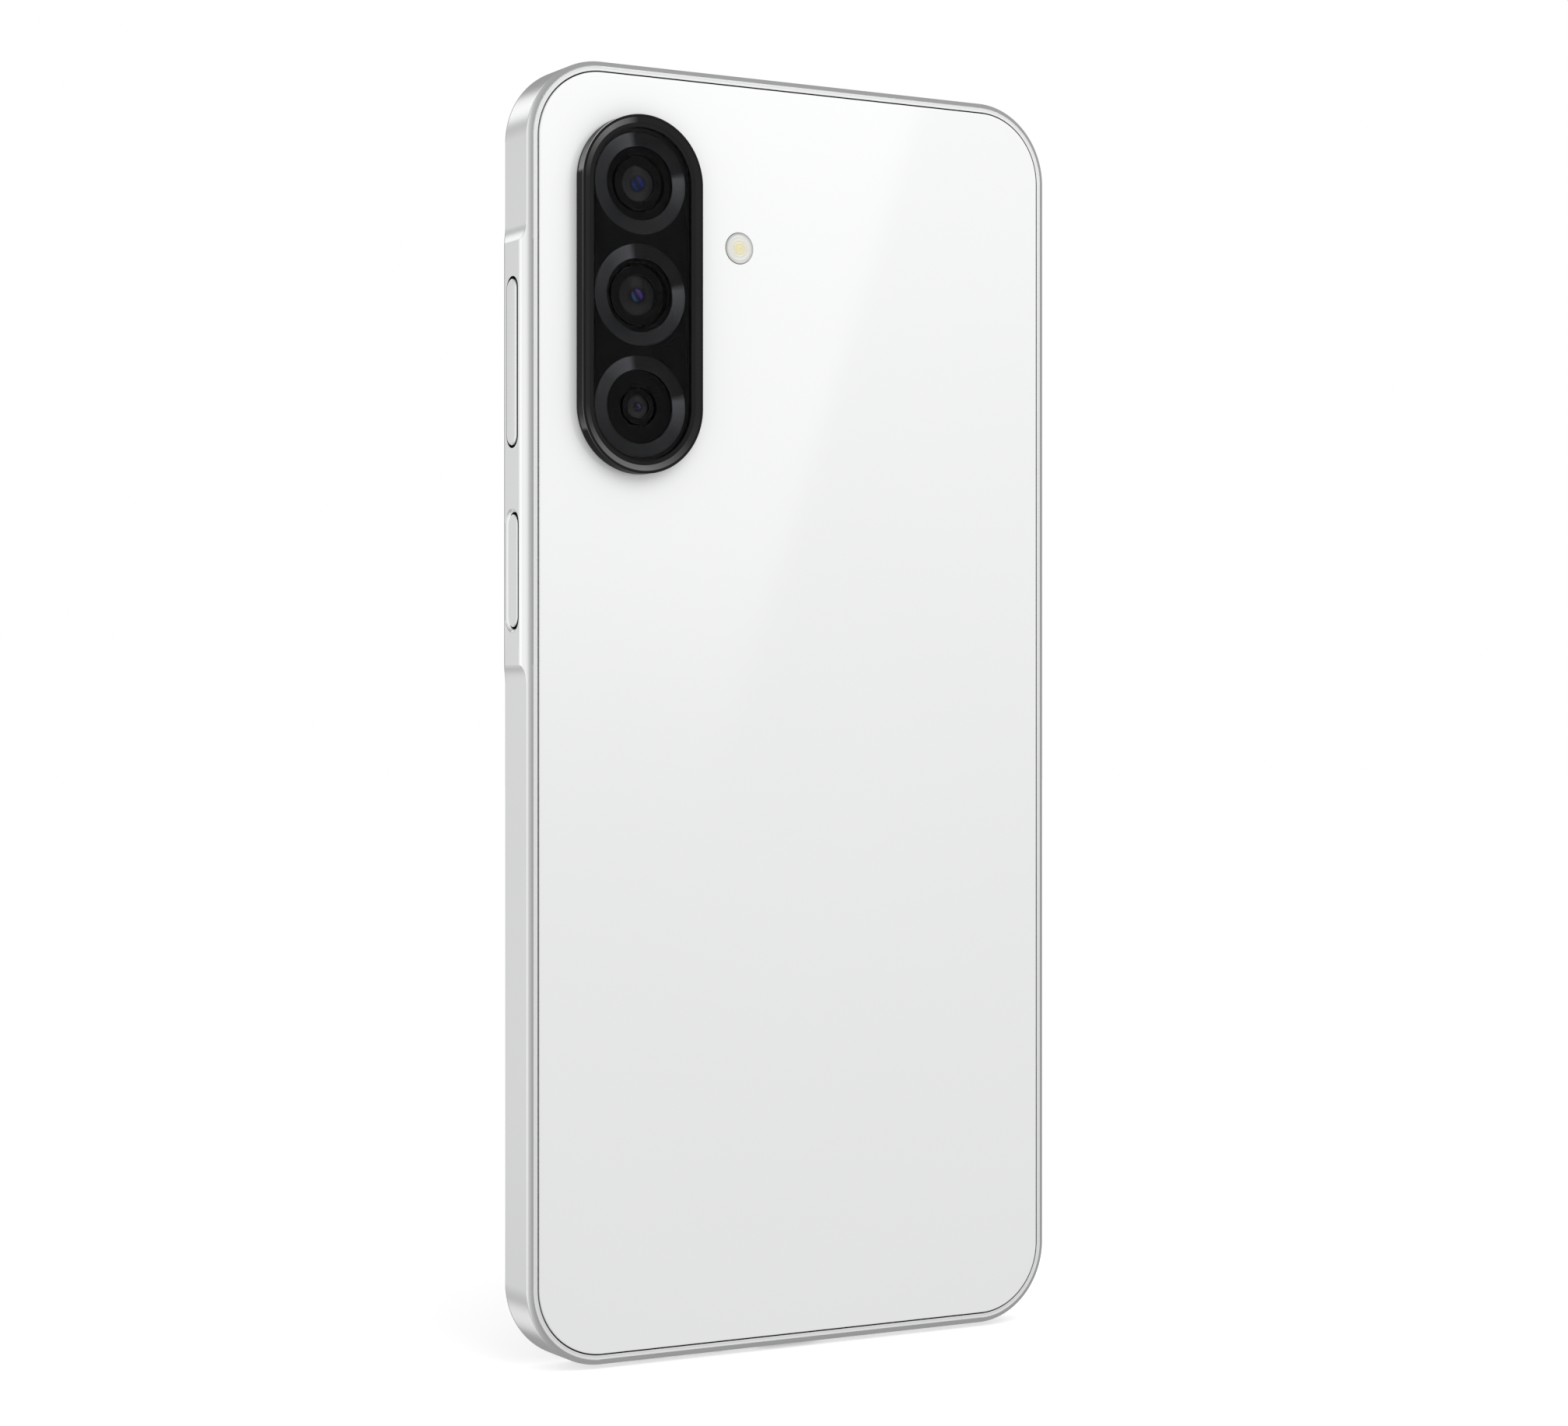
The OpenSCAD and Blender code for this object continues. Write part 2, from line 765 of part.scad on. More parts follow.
module key_retainer() {
    color("silver") block([strip_out - strip_t - 0.3, -strip_w / 2 - 0.2, strip_bottom],
                          [strip_out - strip_t, strip_w / 2 + 0.2, strip_top]);
}

// ---------------------------------------------------------------- main board

// The inside of the frame as a solid, drawn in a little, to trim boards and covers with
module inside_outline(y0, y1) {
    slab(wall_t + 0.5, y0, y1);
}

// Metal can with one open face against the board: its -Y face if open_front, or else its +Y face
module can(low, high, open_front) {
    difference() {
        block(low, high);
        block([low[0] + can_wall, low[1] + (open_front ? -over : can_wall), low[2] + can_wall],
              [high[0] - can_wall, high[1] + (open_front ? -can_wall : over), high[2] - can_wall]);
    }
}

module main_board() {
    color("darkgreen") difference() {
        union() {
            intersection() {
                block([board_left, board_front, board_bottom], [board_right, board_back, board_top]);
                inside_outline(board_front, board_back);
            }
            // Processor and memory under the front can, radio chips under the rear can
            block([processor_x, board_front - processor_t, processor_z],
                  [processor_x + processor_w, board_front, processor_z + processor_w]);
            block([radio_x, board_back, radio_z],
                  [radio_x + radio_w, board_back + radio_t, radio_z + radio_w]);
        }
        block([-front_size / 2 - 0.5, board_front - over, front_z - front_size / 2 - 0.5],
              [front_size / 2 + 0.5, board_back + over, body_h]);
        block([ear_x - ear_w / 2 - 0.4, board_front - over, ear_z - ear_h / 2 - 0.4],
              [ear_x + ear_w / 2 + 0.4, board_back + over, body_h]);
        for (p = upper_screws) disc(p[0], p[1], boss_r + loose, board_front - over, board_back + over);
    }
}

module shield_front() {
    color("silver") can([-26, module_front, shield_low], [board_right - 5, board_front, shield_high], false);
}

module shield_rear() {
    color("silver") can([socket_in + 0.7, board_back, shield_low],
                        [board_right - 5, cover_front - 0.3, shield_high], true);
}

module upper_cover() {
    y1 = cover_front + upper_cover_t;
    color([0.15, 0.15, 0.16]) difference() {
        intersection() {
            block([board_left + 0.1, cover_front, board_bottom + 0.5],
                  [island_x - neck_w / 2 - 1, y1, board_top - 0.1]);
            inside_outline(cover_front, y1);
        }
        disc(flash_x, flash_z, flash_d / 2 + 0.3, cover_front - over, y1 + over);
        for (p = upper_screws) disc(p[0], p[1], screw_r + 0.2, cover_front - over, y1 + over);
    }
}

module nfc_coil() {
    y0 = cover_front + upper_cover_t;
    color([0.75, 0.45, 0.2]) translate([nfc_x, 0, island_z]) difference() {
        through(y0, y0 + nfc_t) round_rect(nfc_w, nfc_w, nfc_r);
        through(y0 - over, y0 + over) round_rect(nfc_w - 2 * nfc_band, nfc_w - 2 * nfc_band, nfc_r - 2);
    }
}

module light_sensor() {
    color([0.1, 0.1, 0.1])
        block([light_x - 0.7, plate_back + running, light_z - 0.4],
              [light_x + light_hole + 0.7, board_front, light_z + light_hole + 0.4]);
}

// ---------------------------------------------------------------- battery and ribbons

module battery() {
    color([0.2, 0.2, 0.22]) translate([0, 0, (battery_bottom + battery_top) / 2])
        through(battery_front, battery_back) round_rect(battery_w, battery_top - battery_bottom, 2);
}

// Ribbon from x0 to x1 whose path is a polygon of [y, z] points
module ribbon(x0, x1, path) {
    translate([x0, 0, 0]) rotate([90, 0, 90]) linear_extrude(x1 - x0) polygon(path);
}

module battery_flex() {
    y_top = battery_back - 1;
    y_plug = board_back + battery_plug_t;
    z_end = board_bottom + battery_flex_end;
    color("orange") ribbon(battery_flex_x, battery_flex_x + battery_flex_w, [
        [y_top, battery_top], [y_top, board_bottom - 0.3], [board_back, board_bottom - 0.3],
        [board_back, z_end], [y_plug, z_end], [y_plug, board_bottom + 0.4],
        [board_back + flex_t, board_bottom + 0.4], [board_back + flex_t, board_bottom - 0.1],
        [y_top + flex_t, board_bottom - 0.1], [y_top + flex_t, battery_top]
    ]);
}

module graphite_sheet() {
    color([0.2, 0.2, 0.2]) translate([0, 0, (battery_bottom + battery_top) / 2])
        through(rear_ledge - 0.1, rear_ledge)
            square([battery_w - 4, battery_top - battery_bottom - 2], center = true);
}

module main_flex() {
    y0 = battery_back + 0.02;
    y1 = y0 + flex_t;
    low_y = board_back;
    z_low = lower_zone - 5.4;
    z_high = board_bottom + main_flex_end;
    step_low = battery_bottom - 0.4;
    step_high = battery_top + 0.9;
    color("orange") ribbon(main_flex_x, main_flex_x + main_flex_w, [
        [low_y, z_low], [low_y, step_low], [y0, step_low], [y0, step_high], [low_y, step_high],
        [low_y, z_high], [low_y + flex_t, z_high], [low_y + flex_t, step_high + flex_t],
        [y1, step_high + flex_t], [y1, step_low - flex_t], [low_y + flex_t, step_low - flex_t],
        [low_y + flex_t, z_low]
    ]);
}

// Thin coaxial lead along the left side of the battery, with a press connector at each end
module antenna_cable() {
    r = cable_r;
    x = -inside_x + 0.95;
    y = board_back + 1;
    z0 = lower_zone - 7.5;
    z1 = board_bottom + 8.5;
    color([0.15, 0.15, 0.15]) union() {
        translate([x, y, z0]) cylinder(r = r, h = z1 - z0);
        for (z = [z0, z1]) {
            translate([x, y, z]) sphere(r);
            disc(x, z, cable_plug_r, board_back, y);
        }
    }
}

// ---------------------------------------------------------------- lower zone

module sub_board() {
    usb_top = usb_sink + usb_depth + loose;
    color("darkgreen") difference() {
        intersection() {
            block([-inside_x + 1, board_front, 0], [sub_right, board_back, lower_zone - 0.6]);
            inside_outline(board_front, board_back);
        }
        disc(motor_x, motor_z, motor_r + 0.3, board_front - over, board_back + over);
        block([-usb_w / 2 - loose, board_front - over, 0], [usb_w / 2 + loose, board_back + over, usb_top]);
        for (p = lower_screws) disc(p[0], p[1], boss_r + loose, board_front - over, board_back + over);
    }
}

module lower_cover() {
    y0 = speaker_back + 0.05;
    color([0.15, 0.15, 0.16]) difference() {
        union() {
            intersection() {
                block([-half_w, y0, 0], [half_w, y0 + lower_cover_t, lower_zone]);
                inside_outline(y0, y0 + lower_cover_t);
            }
            for (p = lower_screws) disc(p[0], p[1], boss_r, cover_front, y0);
        }
        for (p = lower_screws) disc(p[0], p[1], screw_r + 0.2, cover_front - over, body_t);
    }
}

module loudspeaker_case() {
    x0 = speaker_x - speaker_w / 2;
    x1 = speaker_x + speaker_w / 2;
    y0 = plate_back + 0.05;
    color([0.12, 0.12, 0.12]) difference() {
        union() {
            block([x0, y0, speaker_low], [x1, speaker_back, speaker_high]);
            // Snout to the slots, and the magnet under the diaphragm
            block([slot_x - mesh_w / 2, -mesh_h / 2, wall_t + 0.05],
                  [slot_x + mesh_w / 2, mesh_h / 2, speaker_low]);
        }
        difference() {
            block([x0 + speaker_wall, y0 + speaker_wall, speaker_low + speaker_wall],
                  [x1 - speaker_wall, speaker_back - speaker_wall, speaker_high - speaker_wall]);
            block([speaker_x - magnet[0] / 2, y0, diaphragm_z - magnet[2] / 2],
                  [speaker_x + magnet[0] / 2, y0 + magnet[1], diaphragm_z + magnet[2] / 2]);
        }
        block([slot_x - mesh_w / 2 + 0.5, 0.3 - mesh_h / 2, 0],
              [slot_x + mesh_w / 2 - 0.5, mesh_h / 2 - 0.3, speaker_low + speaker_wall + over]);
    }
}

module loudspeaker_diaphragm() {
    color([0.7, 0.7, 0.75]) translate([speaker_x, 0, diaphragm_z]) {
        through(diaphragm_y, diaphragm_y + mesh_t) round_rect(diaphragm_w, diaphragm_h, 3);
        // Voice coil
        difference() {
            through(diaphragm_y - coil_drop, diaphragm_y) square([coil_w, coil_h], center = true);
            through(diaphragm_y - coil_drop - over, diaphragm_y)
                square([coil_w - 2 * coil_wall, coil_h - 2 * coil_wall], center = true);
        }
    }
}

// Woven mesh behind the slots, kept as a plain plate
module speaker_mesh() {
    color([0.2, 0.2, 0.2])
        block([slot_x - mesh_w / 2, -mesh_h / 2, mesh_z], [slot_x + mesh_w / 2, mesh_h / 2, mesh_z + mesh_t]);
}

// Coin motor: a case with a fixed shaft, on which a half-disc weight spins
module motor_case() {
    y0 = plate_back;
    y1 = plate_back + motor_h;
    color("silver") union() {
        difference() {
            disc(motor_x, motor_z, motor_r, y0, y1);
            disc(motor_x, motor_z, motor_r - motor_wall, y0 + motor_wall, y1 - motor_wall);
        }
        disc(motor_x, motor_z, shaft_r, y0 + motor_wall, y1 - motor_wall);
    }
}

module motor_rotor() {
    y0 = plate_back + motor_wall + motor_gap;
    y1 = plate_back + motor_h - motor_wall - motor_gap;
    color([0.6, 0.55, 0.45]) difference() {
        union() {
            disc(motor_x, motor_z, motor_hub_r, y0, y1);
            intersection() {
                disc(motor_x, motor_z, motor_r - motor_wall - motor_gap, y0, y1);
                block([motor_x - motor_r, y0, motor_z - motor_r], [motor_x + motor_r, y1, motor_z]);
            }
        }
        disc(motor_x, motor_z, shaft_r + running, y0 - over, y1 + over);
    }
}

// ---------------------------------------------------------------- ports

// Stadium across the bottom edge, extruded upwards from z0 to z1
module port_pill(w, h, z0, z1) {
    translate([0, 0, z0]) linear_extrude(z1 - z0) rotate(90) pill(h, w);
}

module usb_shell() {
    color("silver") difference() {
        port_pill(usb_w, usb_h, usb_sink, usb_sink + usb_depth);
        port_pill(usb_w - 2 * usb_wall_x, usb_h - 2 * usb_wall_y, usb_sink - over,
                  usb_sink + usb_depth - port_floor);
    }
}

module usb_tongue() {
    color([0.1, 0.1, 0.1]) block([-tongue_w / 2, -tongue_t / 2, usb_sink + tongue_sink],
                                 [tongue_w / 2, tongue_t / 2, usb_sink + usb_depth - port_floor]);
}

module earpiece_case() {
    y0 = plate_back + 0.05;
    y1 = board_back + 1.2;
    color([0.12, 0.12, 0.12]) difference() {
        block([ear_x - ear_w / 2, y0, ear_z - ear_h / 2], [ear_x + ear_w / 2, y1, ear_z + ear_h / 2]);
        block([ear_x - ear_w / 2 + 0.3, y0 + 0.9, ear_z - ear_h / 2 + 0.3],
              [ear_x + ear_w / 2 - 0.3, y1 - 0.3, ear_z + ear_h / 2 - 0.3]);
        // Side mouth towards the slot
        block([ear_x + 1, y0 + 1, ear_z + ear_h / 2 - over],
              [ear_x + ear_w / 2 - 0.6, y1 - 0.4, ear_z + ear_h]);
    }
}

module earpiece_diaphragm() {
    y = board_back + 0.3;
    color([0.7, 0.7, 0.75]) translate([ear_x, 0, ear_z]) through(y, y + 0.12)
        square([ear_w - 1.2, ear_h - 1.2], center = true);
}

module earpiece_mesh() {
    color([0.2, 0.2, 0.2]) block([-ear_slot_w / 2, -back_y + 0.35, body_h - rim_inset],
                                 [ear_slot_w / 2, -back_y + 0.5, body_h - rim_inset + ear_slot_t]);
}

// Microphone in a small metal can on the back of its board
module microphone(x, z0) {
    color("silver") block([x - mic_w / 2, board_back, z0], [x + mic_w / 2, board_back + mic_t, z0 + mic_h]);
}

module bottom_microphone() {
    microphone(mic_bottom_x, wall_t + 0.5);
}

module top_microphone() {
    microphone(mic_top_x, board_top - mic_h);
}

// ---------------------------------------------------------------- card tray and ejector

module sim_tray() {
    body_in = tray_plate_t - half_w;
    color("white") difference() {
        union() {
            block([-half_w, tray_y - tray_plate_w / 2, tray_z - tray_plate_len / 2],
                  [body_in, tray_y + tray_plate_w / 2, tray_z + tray_plate_len / 2]);
            block([body_in, tray_y - tray_t / 2, tray_z - tray_w / 2],
                  [tray_tail, tray_y + tray_t / 2, tray_z + tray_w / 2]);
        }
        // Pockets for a small card and a memory card, each open through the tray with a lip
        for (p = pockets) {
            block([body_in + p[0], tray_y - tray_t / 2 + pocket_floor, tray_z - p[2] / 2],
                  [body_in + p[0] + p[1], tray_y + tray_t, tray_z + p[2] / 2]);
            block([body_in + p[0] + pocket_lip, tray_y - tray_t, tray_z - p[2] / 2 + pocket_lip],
                  [body_in + p[0] + p[1] - pocket_lip, tray_y + tray_t, tray_z + p[2] / 2 - pocket_lip]);
        }
        translate([-half_w - over, tray_y, rod_z]) rotate([0, 90, 0])
            cylinder(d = pin_hole_d, h = tray_plate_t + 2 * over);
    }
}

module sim_socket() {
    low_y = board_back;
    high_y = tray_y + 0.7;
    color("silver") union() {
        difference() {
            block([socket_out, low_y, socket_low], [socket_in, high_y, socket_high]);
            block([socket_out - over, low_y + socket_wall, socket_low + socket_wall],
                  [socket_in - socket_wall, high_y - socket_wall, socket_high - socket_wall]);
        }
        // Guides for the eject rod
        for (x = [socket_out + 1.5, tray_tail - 6])
            difference() {
                block([x, low_y + socket_wall, rod_z - 0.7],
                      [x + 1, high_y - socket_wall, socket_high - socket_wall]);
                translate([x - over, tray_y, rod_z]) rotate([0, 90, 0])
                    cylinder(r = rod_r + running, h = 1 + 2 * over);
            }
        disc(lever_x, lever_z, lever_pin_r, low_y + socket_wall, high_y - socket_wall);
    }
}

module sim_eject_rod() {
    color("silver") union() {
        translate([rod_out, tray_y, rod_z]) rotate([0, 90, 0])
            cylinder(r = rod_r, h = rod_in - rod_r - rod_out);
        translate([rod_in - rod_r, tray_y, rod_z]) sphere(rod_r);
    }
}

module sim_eject_lever() {
    color("silver") difference() {
        translate([lever_x, 0, lever_z + (lever_arm - lever_tail) / 2]) through(tray_y - 0.35, tray_y + 0.35)
            pill(lever_t + 0.4, lever_arm + lever_tail + lever_t);
        disc(lever_x, lever_z, lever_pin_r + running, tray_y - over, tray_y + over);
        // Both arms are narrower than the eye in the middle
        for (s = [-1, 1], r = [[lever_eye, 2 * lever_arm], [-2 * lever_tail, -lever_eye]])
            block([lever_x + (s > 0 ? lever_t / 2 : -lever_t), tray_y - over, lever_z + r[0]],
                  [lever_x + (s > 0 ? lever_t : -lever_t / 2), tray_y + over, lever_z + r[1]]);
    }
}

// ---------------------------------------------------------------- screws

module screw(x, z, seat) {
    disc(x, z, screw_r, plate_back + 0.3, seat);
    disc(x, z, screw_head_r, seat, seat + screw_head_t);
}

module screws() {
    color("silver") union() {
        for (p = upper_screws) screw(p[0], p[1], cover_front + upper_cover_t);
        for (p = lower_screws) screw(p[0], p[1], speaker_back + 0.05 + lower_cover_t);
    }
}

// ---------------------------------------------------------------- nodes

side_frame();
mid_plate();
rear_cover();
rear_cover_adhesive();
display_glass();
display_panel();
display_adhesive();
display_flex();
camera_bezel();
camera_glass();
camera_ring_top();
camera_ring_middle();
camera_ring_bottom();
camera_gasket();
wide_camera_housing();
wide_camera_barrel();
wide_camera_lens();
ultrawide_camera();
ultrawide_lens();
macro_camera();
macro_lens();
front_camera();
front_camera_lens();
flash_lens();
flash_led();
volume_key();
power_key();
fingerprint_sensor();
key_flex();
key_retainer();
main_board();
shield_front();
shield_rear();
upper_cover();
nfc_coil();
light_sensor();
battery();
battery_flex();
graphite_sheet();
main_flex();
antenna_cable();
sub_board();
lower_cover();
loudspeaker_case();
loudspeaker_diaphragm();
speaker_mesh();
earpiece_case();
earpiece_diaphragm();
earpiece_mesh();
motor_case();
motor_rotor();
usb_shell();
usb_tongue();
sim_tray();
sim_socket();
sim_eject_rod();
sim_eject_lever();
bottom_microphone();
top_microphone();
screws();
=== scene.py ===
"""Looks of a slab smartphone with a camera island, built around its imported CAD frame.

Lengths are worked out in millimetres and put into the meshes in metres.
"""

import math

import bmesh
import bpy
import numpy as np
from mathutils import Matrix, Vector


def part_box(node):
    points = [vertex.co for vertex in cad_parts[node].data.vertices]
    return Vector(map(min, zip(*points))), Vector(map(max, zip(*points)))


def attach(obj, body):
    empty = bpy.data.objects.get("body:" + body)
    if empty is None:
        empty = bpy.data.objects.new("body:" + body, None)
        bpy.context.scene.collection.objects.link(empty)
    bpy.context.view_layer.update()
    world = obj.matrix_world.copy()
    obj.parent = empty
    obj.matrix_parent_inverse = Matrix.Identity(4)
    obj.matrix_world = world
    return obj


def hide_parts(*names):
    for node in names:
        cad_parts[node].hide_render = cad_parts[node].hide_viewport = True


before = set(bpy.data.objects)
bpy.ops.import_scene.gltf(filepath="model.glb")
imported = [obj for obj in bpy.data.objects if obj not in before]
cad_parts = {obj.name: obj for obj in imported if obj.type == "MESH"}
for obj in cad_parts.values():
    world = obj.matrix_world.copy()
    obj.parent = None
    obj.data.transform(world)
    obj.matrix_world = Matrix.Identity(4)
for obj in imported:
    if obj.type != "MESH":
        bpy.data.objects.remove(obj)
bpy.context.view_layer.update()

MM = 0.001
HOME = "phone_body"


# ---------------------------------------------------------------- places, from the CAD

def box_mm(node):
    """Lowest and highest corner of a CAD node in millimetres."""
    low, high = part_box(node)
    return np.array(low) / MM, np.array(high) / MM


def middle(node):
    """Centre of a CAD node in millimetres."""
    low, high = box_mm(node)
    return (low + high) / 2


frame_low, frame_high = box_mm("side_frame")
half_w = -frame_low[0]
body_h = frame_high[2]
ridge_x = frame_high[0]
mill = ridge_x - half_w
rim_y = frame_high[1]
rear_low, rear_high = box_mm("rear_cover")
front_low, front_high = box_mm("display_glass")
glass_inset = half_w - rear_high[0]
glue_low = box_mm("rear_cover_adhesive")[0]
front_glue_high = box_mm("display_adhesive")[1]
wall = half_w - box_mm("mid_plate")[1][0]
corner_r = 10.2
edge_r = 1.8
rim_inset = glass_inset - 0.17
island_low, island_high = box_mm("camera_bezel")
island_w = island_high[0] - island_low[0]
island_h = island_high[2] - island_low[2]
island_x, _, island_z = middle("camera_bezel")
window_low, window_high = box_mm("camera_glass")


# ---------------------------------------------------------------- meshes

def quads(rows, cols, wrap_rows=False, wrap_cols=False):
    """Corner numbers of the quads of a grid of rows x cols points, closed in either direction."""
    i, j = np.meshgrid(np.arange(rows if wrap_rows else rows - 1),
                       np.arange(cols if wrap_cols else cols - 1), indexing="ij")
    k, m = (i + 1) % rows, (j + 1) % cols
    return np.stack([i * cols + j, k * cols + j, k * cols + m, i * cols + m], -1).reshape(-1, 4).tolist()


def make_mesh(name, shapes, crease):
    """One mesh from (points, faces) pairs: doubles merged, faces turned outwards, sharp past crease degrees."""
    points, faces, start = [], [], 0
    for shape_points, shape_faces in shapes:
        points.append(np.asarray(shape_points, float).reshape(-1, 3))
        faces += [[start + v for v in face] for face in shape_faces]
        start += len(points[-1])
    mesh = bpy.data.meshes.new(name)
    mesh.from_pydata((np.concatenate(points) * MM).tolist(), [], faces)
    work = bmesh.new()
    work.from_mesh(mesh)
    bmesh.ops.remove_doubles(work, verts=work.verts, dist=2e-7)
    bmesh.ops.recalc_face_normals(work, faces=work.faces)
    work.to_mesh(mesh)
    work.free()
    mesh.shade_smooth()
    mesh.set_sharp_from_angle(angle=math.radians(crease))
    return mesh


def piece(name, shapes, finishes, stands_for=(), body=HOME, crease=30, bands=None):
    """A finished piece that rides on a body and stands for the CAD nodes named.

    Bands give each strip of a swept profile its finish."""
    obj = bpy.data.objects.new(name, make_mesh(name, shapes, crease))
    bpy.context.scene.collection.objects.link(obj)
    for finish in finishes if isinstance(finishes, (list, tuple)) else [finishes]:
        obj.data.materials.append(finish)
    if bands is not None:
        obj.data.polygons.foreach_set("material_index", np.resize(bands, len(obj.data.polygons)).astype(np.int32))
    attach(obj, body)
    if stands_for:
        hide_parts(*stands_for)
    return obj


def outline(width, height, radius, turn_steps=20, side_steps=1):
    """Round rectangle about (0, 0), from four sides and four quarter turns, with each point's outward normal."""
    turn = np.linspace(0, np.pi / 2, turn_steps + 1)
    points, normals = [], []
    for q in range(4):
        angle = turn + q * np.pi / 2
        normal = np.stack([np.cos(angle), np.sin(angle)], -1)
        corner = np.array([(1, -1, -1, 1)[q] * (width / 2 - radius), (1, 1, -1, -1)[q] * (height / 2 - radius)])
        points.append(corner + radius * normal)
        normals.append(normal)
    points, normals = np.concatenate(points), np.concatenate(normals)
    if side_steps > 1:
        share = (np.arange(side_steps) / side_steps)[None, :, None]
        after = np.roll(points, -1, 0)
        after_n = np.roll(normals, -1, 0)
        long = np.linalg.norm(after - points, axis=1) > 2.5 * radius * np.pi / 2 / turn_steps
        dense_p = points[:, None] + (after - points)[:, None] * share
        dense_n = normals[:, None] + (after_n - normals)[:, None] * share
        keep = long[:, None] | (np.arange(side_steps) == 0)[None, :]
        points, normals = dense_p[keep], dense_n[keep]
    return points, normals


def circle(steps=64):
    """Path for turned shapes: every point at (0, 0), with the normals of a circle."""
    angle = np.linspace(0, 2 * np.pi, steps, endpoint=False)
    normals = np.stack([np.cos(angle), np.sin(angle)], -1)
    return normals * 0, normals


BACK, SIDE, END = (0, 2, 1), (1, 2, 0), (0, 1, 2)   # which axes a path lies in, and the axis that it rises along


def swept(path, profile, centre, axes=BACK, closed=True, capped=False):
    """A profile of (out, up) points carried along a path: point + out * normal, raised by up, about a centre."""
    points, normals = path
    profile = np.asarray(profile, float)
    flat = points[:, None] + normals[:, None] * profile[None, :, :1]
    grid = np.empty(flat.shape[:2] + (3,))
    grid[..., axes[0]] = flat[..., 0] + centre[0]
    grid[..., axes[1]] = flat[..., 1] + centre[1]
    grid[..., axes[2]] = profile[None, :, 1]
    rows, cols = grid.shape[:2]
    faces = quads(rows, cols, True, closed and not capped)
    if capped:
        faces += [list(range(0, rows * cols, cols)), list(range(cols - 1, rows * cols, cols))]
    return grid.reshape(-1, 3), faces


def arc(cx, cy, r, a0, a1, steps):
    """Points on an arc about (cx, cy) from angle a0 to a1 in degrees."""
    angle = np.radians(np.linspace(a0, a1, steps + 1))
    return np.stack([cx + r * np.cos(angle), cy + r * np.sin(angle)], -1)


def slab_profile(low, high, bevel_low, bevel_high, steps=5):
    """Side of a slab from its low face to its high face, with a quarter round at each edge. Out is 0 on the side."""
    return np.concatenate([
        [[-bevel_low - 0.4, low]],
        arc(-bevel_low, low + bevel_low, bevel_low, -90, 0, steps),
        arc(-bevel_high, high - bevel_high, bevel_high, 0, 90, steps),
        [[-bevel_high - 0.4, high]],
    ])


def rod(path, low, high, centre, axes=BACK):
    """Straight solid: the shape of a path carried from one level up to another."""
    return swept(path, [(0, low), (0, high)], centre, axes, capped=True)


def block(low, high, bevel=0.0):
    """Box with its four upright edges and both faces' edges rounded off by bevel."""
    low, high = np.asarray(low, float), np.asarray(high, float)
    bevel = max(bevel, 0.001)
    w, h = high[0] - low[0], high[2] - low[2]
    profile = np.concatenate([arc(-bevel, low[1] + bevel, bevel, -90, 0, 3),
                              arc(-bevel, high[1] - bevel, bevel, 0, 90, 3)])
    centre = ((low[0] + high[0]) / 2, (low[2] + high[2]) / 2)
    return swept(outline(w, h, bevel * 1.01, 4), profile, centre, BACK, capped=True)


def cut(obj, shapes, crease=24):
    """Takes shapes away from a piece, and leaves the result as its plain mesh."""
    tool = bpy.data.objects.new("tool", make_mesh("tool", shapes, 30))
    bpy.context.scene.collection.objects.link(tool)
    tool.data.materials.append(obj.data.materials[0])
    step = obj.modifiers.new("cut", "BOOLEAN")
    step.operation, step.solver, step.object = "DIFFERENCE", "EXACT", tool
    bpy.context.view_layer.update()
    done = bpy.data.meshes.new_from_object(obj.evaluated_get(bpy.context.evaluated_depsgraph_get()))
    obj.modifiers.clear()
    obj.data = done
    done.name = obj.name
    bpy.data.objects.remove(tool)
    done.shade_smooth()
    done.set_sharp_from_angle(angle=math.radians(crease))
    steady = obj.modifiers.new("steady_normals", "WEIGHTED_NORMAL")
    steady.keep_sharp = True
    return obj


# ---------------------------------------------------------------- shader groups

def group(name, inputs, outputs):
    """Empty shader group with float or colour sockets, and its input and output nodes."""
    tree = bpy.data.node_groups.new(name, "ShaderNodeTree")
    for label, value in inputs.items():
        kind = "NodeSocketColor" if isinstance(value, tuple) else "NodeSocketFloat"
        tree.interface.new_socket(label, in_out="INPUT", socket_type=kind).default_value = value
    for label in outputs:
        kind = "NodeSocketColor" if label == "Color" else "NodeSocketFloat"
        tree.interface.new_socket(label, in_out="OUTPUT", socket_type=kind)
    return tree, tree.nodes.new("NodeGroupInput"), tree.nodes.new("NodeGroupOutput")


def add(tree, kind, inputs=(), **settings):
    """Node with settings, and with inputs given as values or as sockets to link."""
    node = tree.nodes.new(kind)
    for key, value in settings.items():
        setattr(node, key, value)
    for key, value in dict(inputs).items():
        if isinstance(value, bpy.types.NodeSocket):
            tree.links.new(value, node.inputs[key])
        else:
            node.inputs[key].default_value = value
    return node


def maths(tree, operation, *values):
    """Result of a maths node on values or sockets."""
    return add(tree, "ShaderNodeMath", dict(enumerate(values)), operation=operation).outputs[0]


def place_mm(tree, centre=(0, 0, 0), scale=(1, 1, 1)):
    """Object coordinates in millimetres, measured from a centre and then scaled."""
    coords = add(tree, "ShaderNodeTexCoord").outputs["Object"]
    moved = add(tree, "ShaderNodeVectorMath", {0: coords, 1: tuple(c * MM for c in centre)}, operation="SUBTRACT")
    return add(tree, "ShaderNodeVectorMath", {0: moved.outputs[0], 1: tuple(s / MM for s in scale)},
               operation="MULTIPLY").outputs[0]


def speckle(tree, vector, scale, detail=2.0):
    """Soft noise from 0 to 1."""
    return add(tree, "ShaderNodeTexNoise", {"Vector": vector, "Scale": scale, "Detail": detail}).outputs["Fac"]


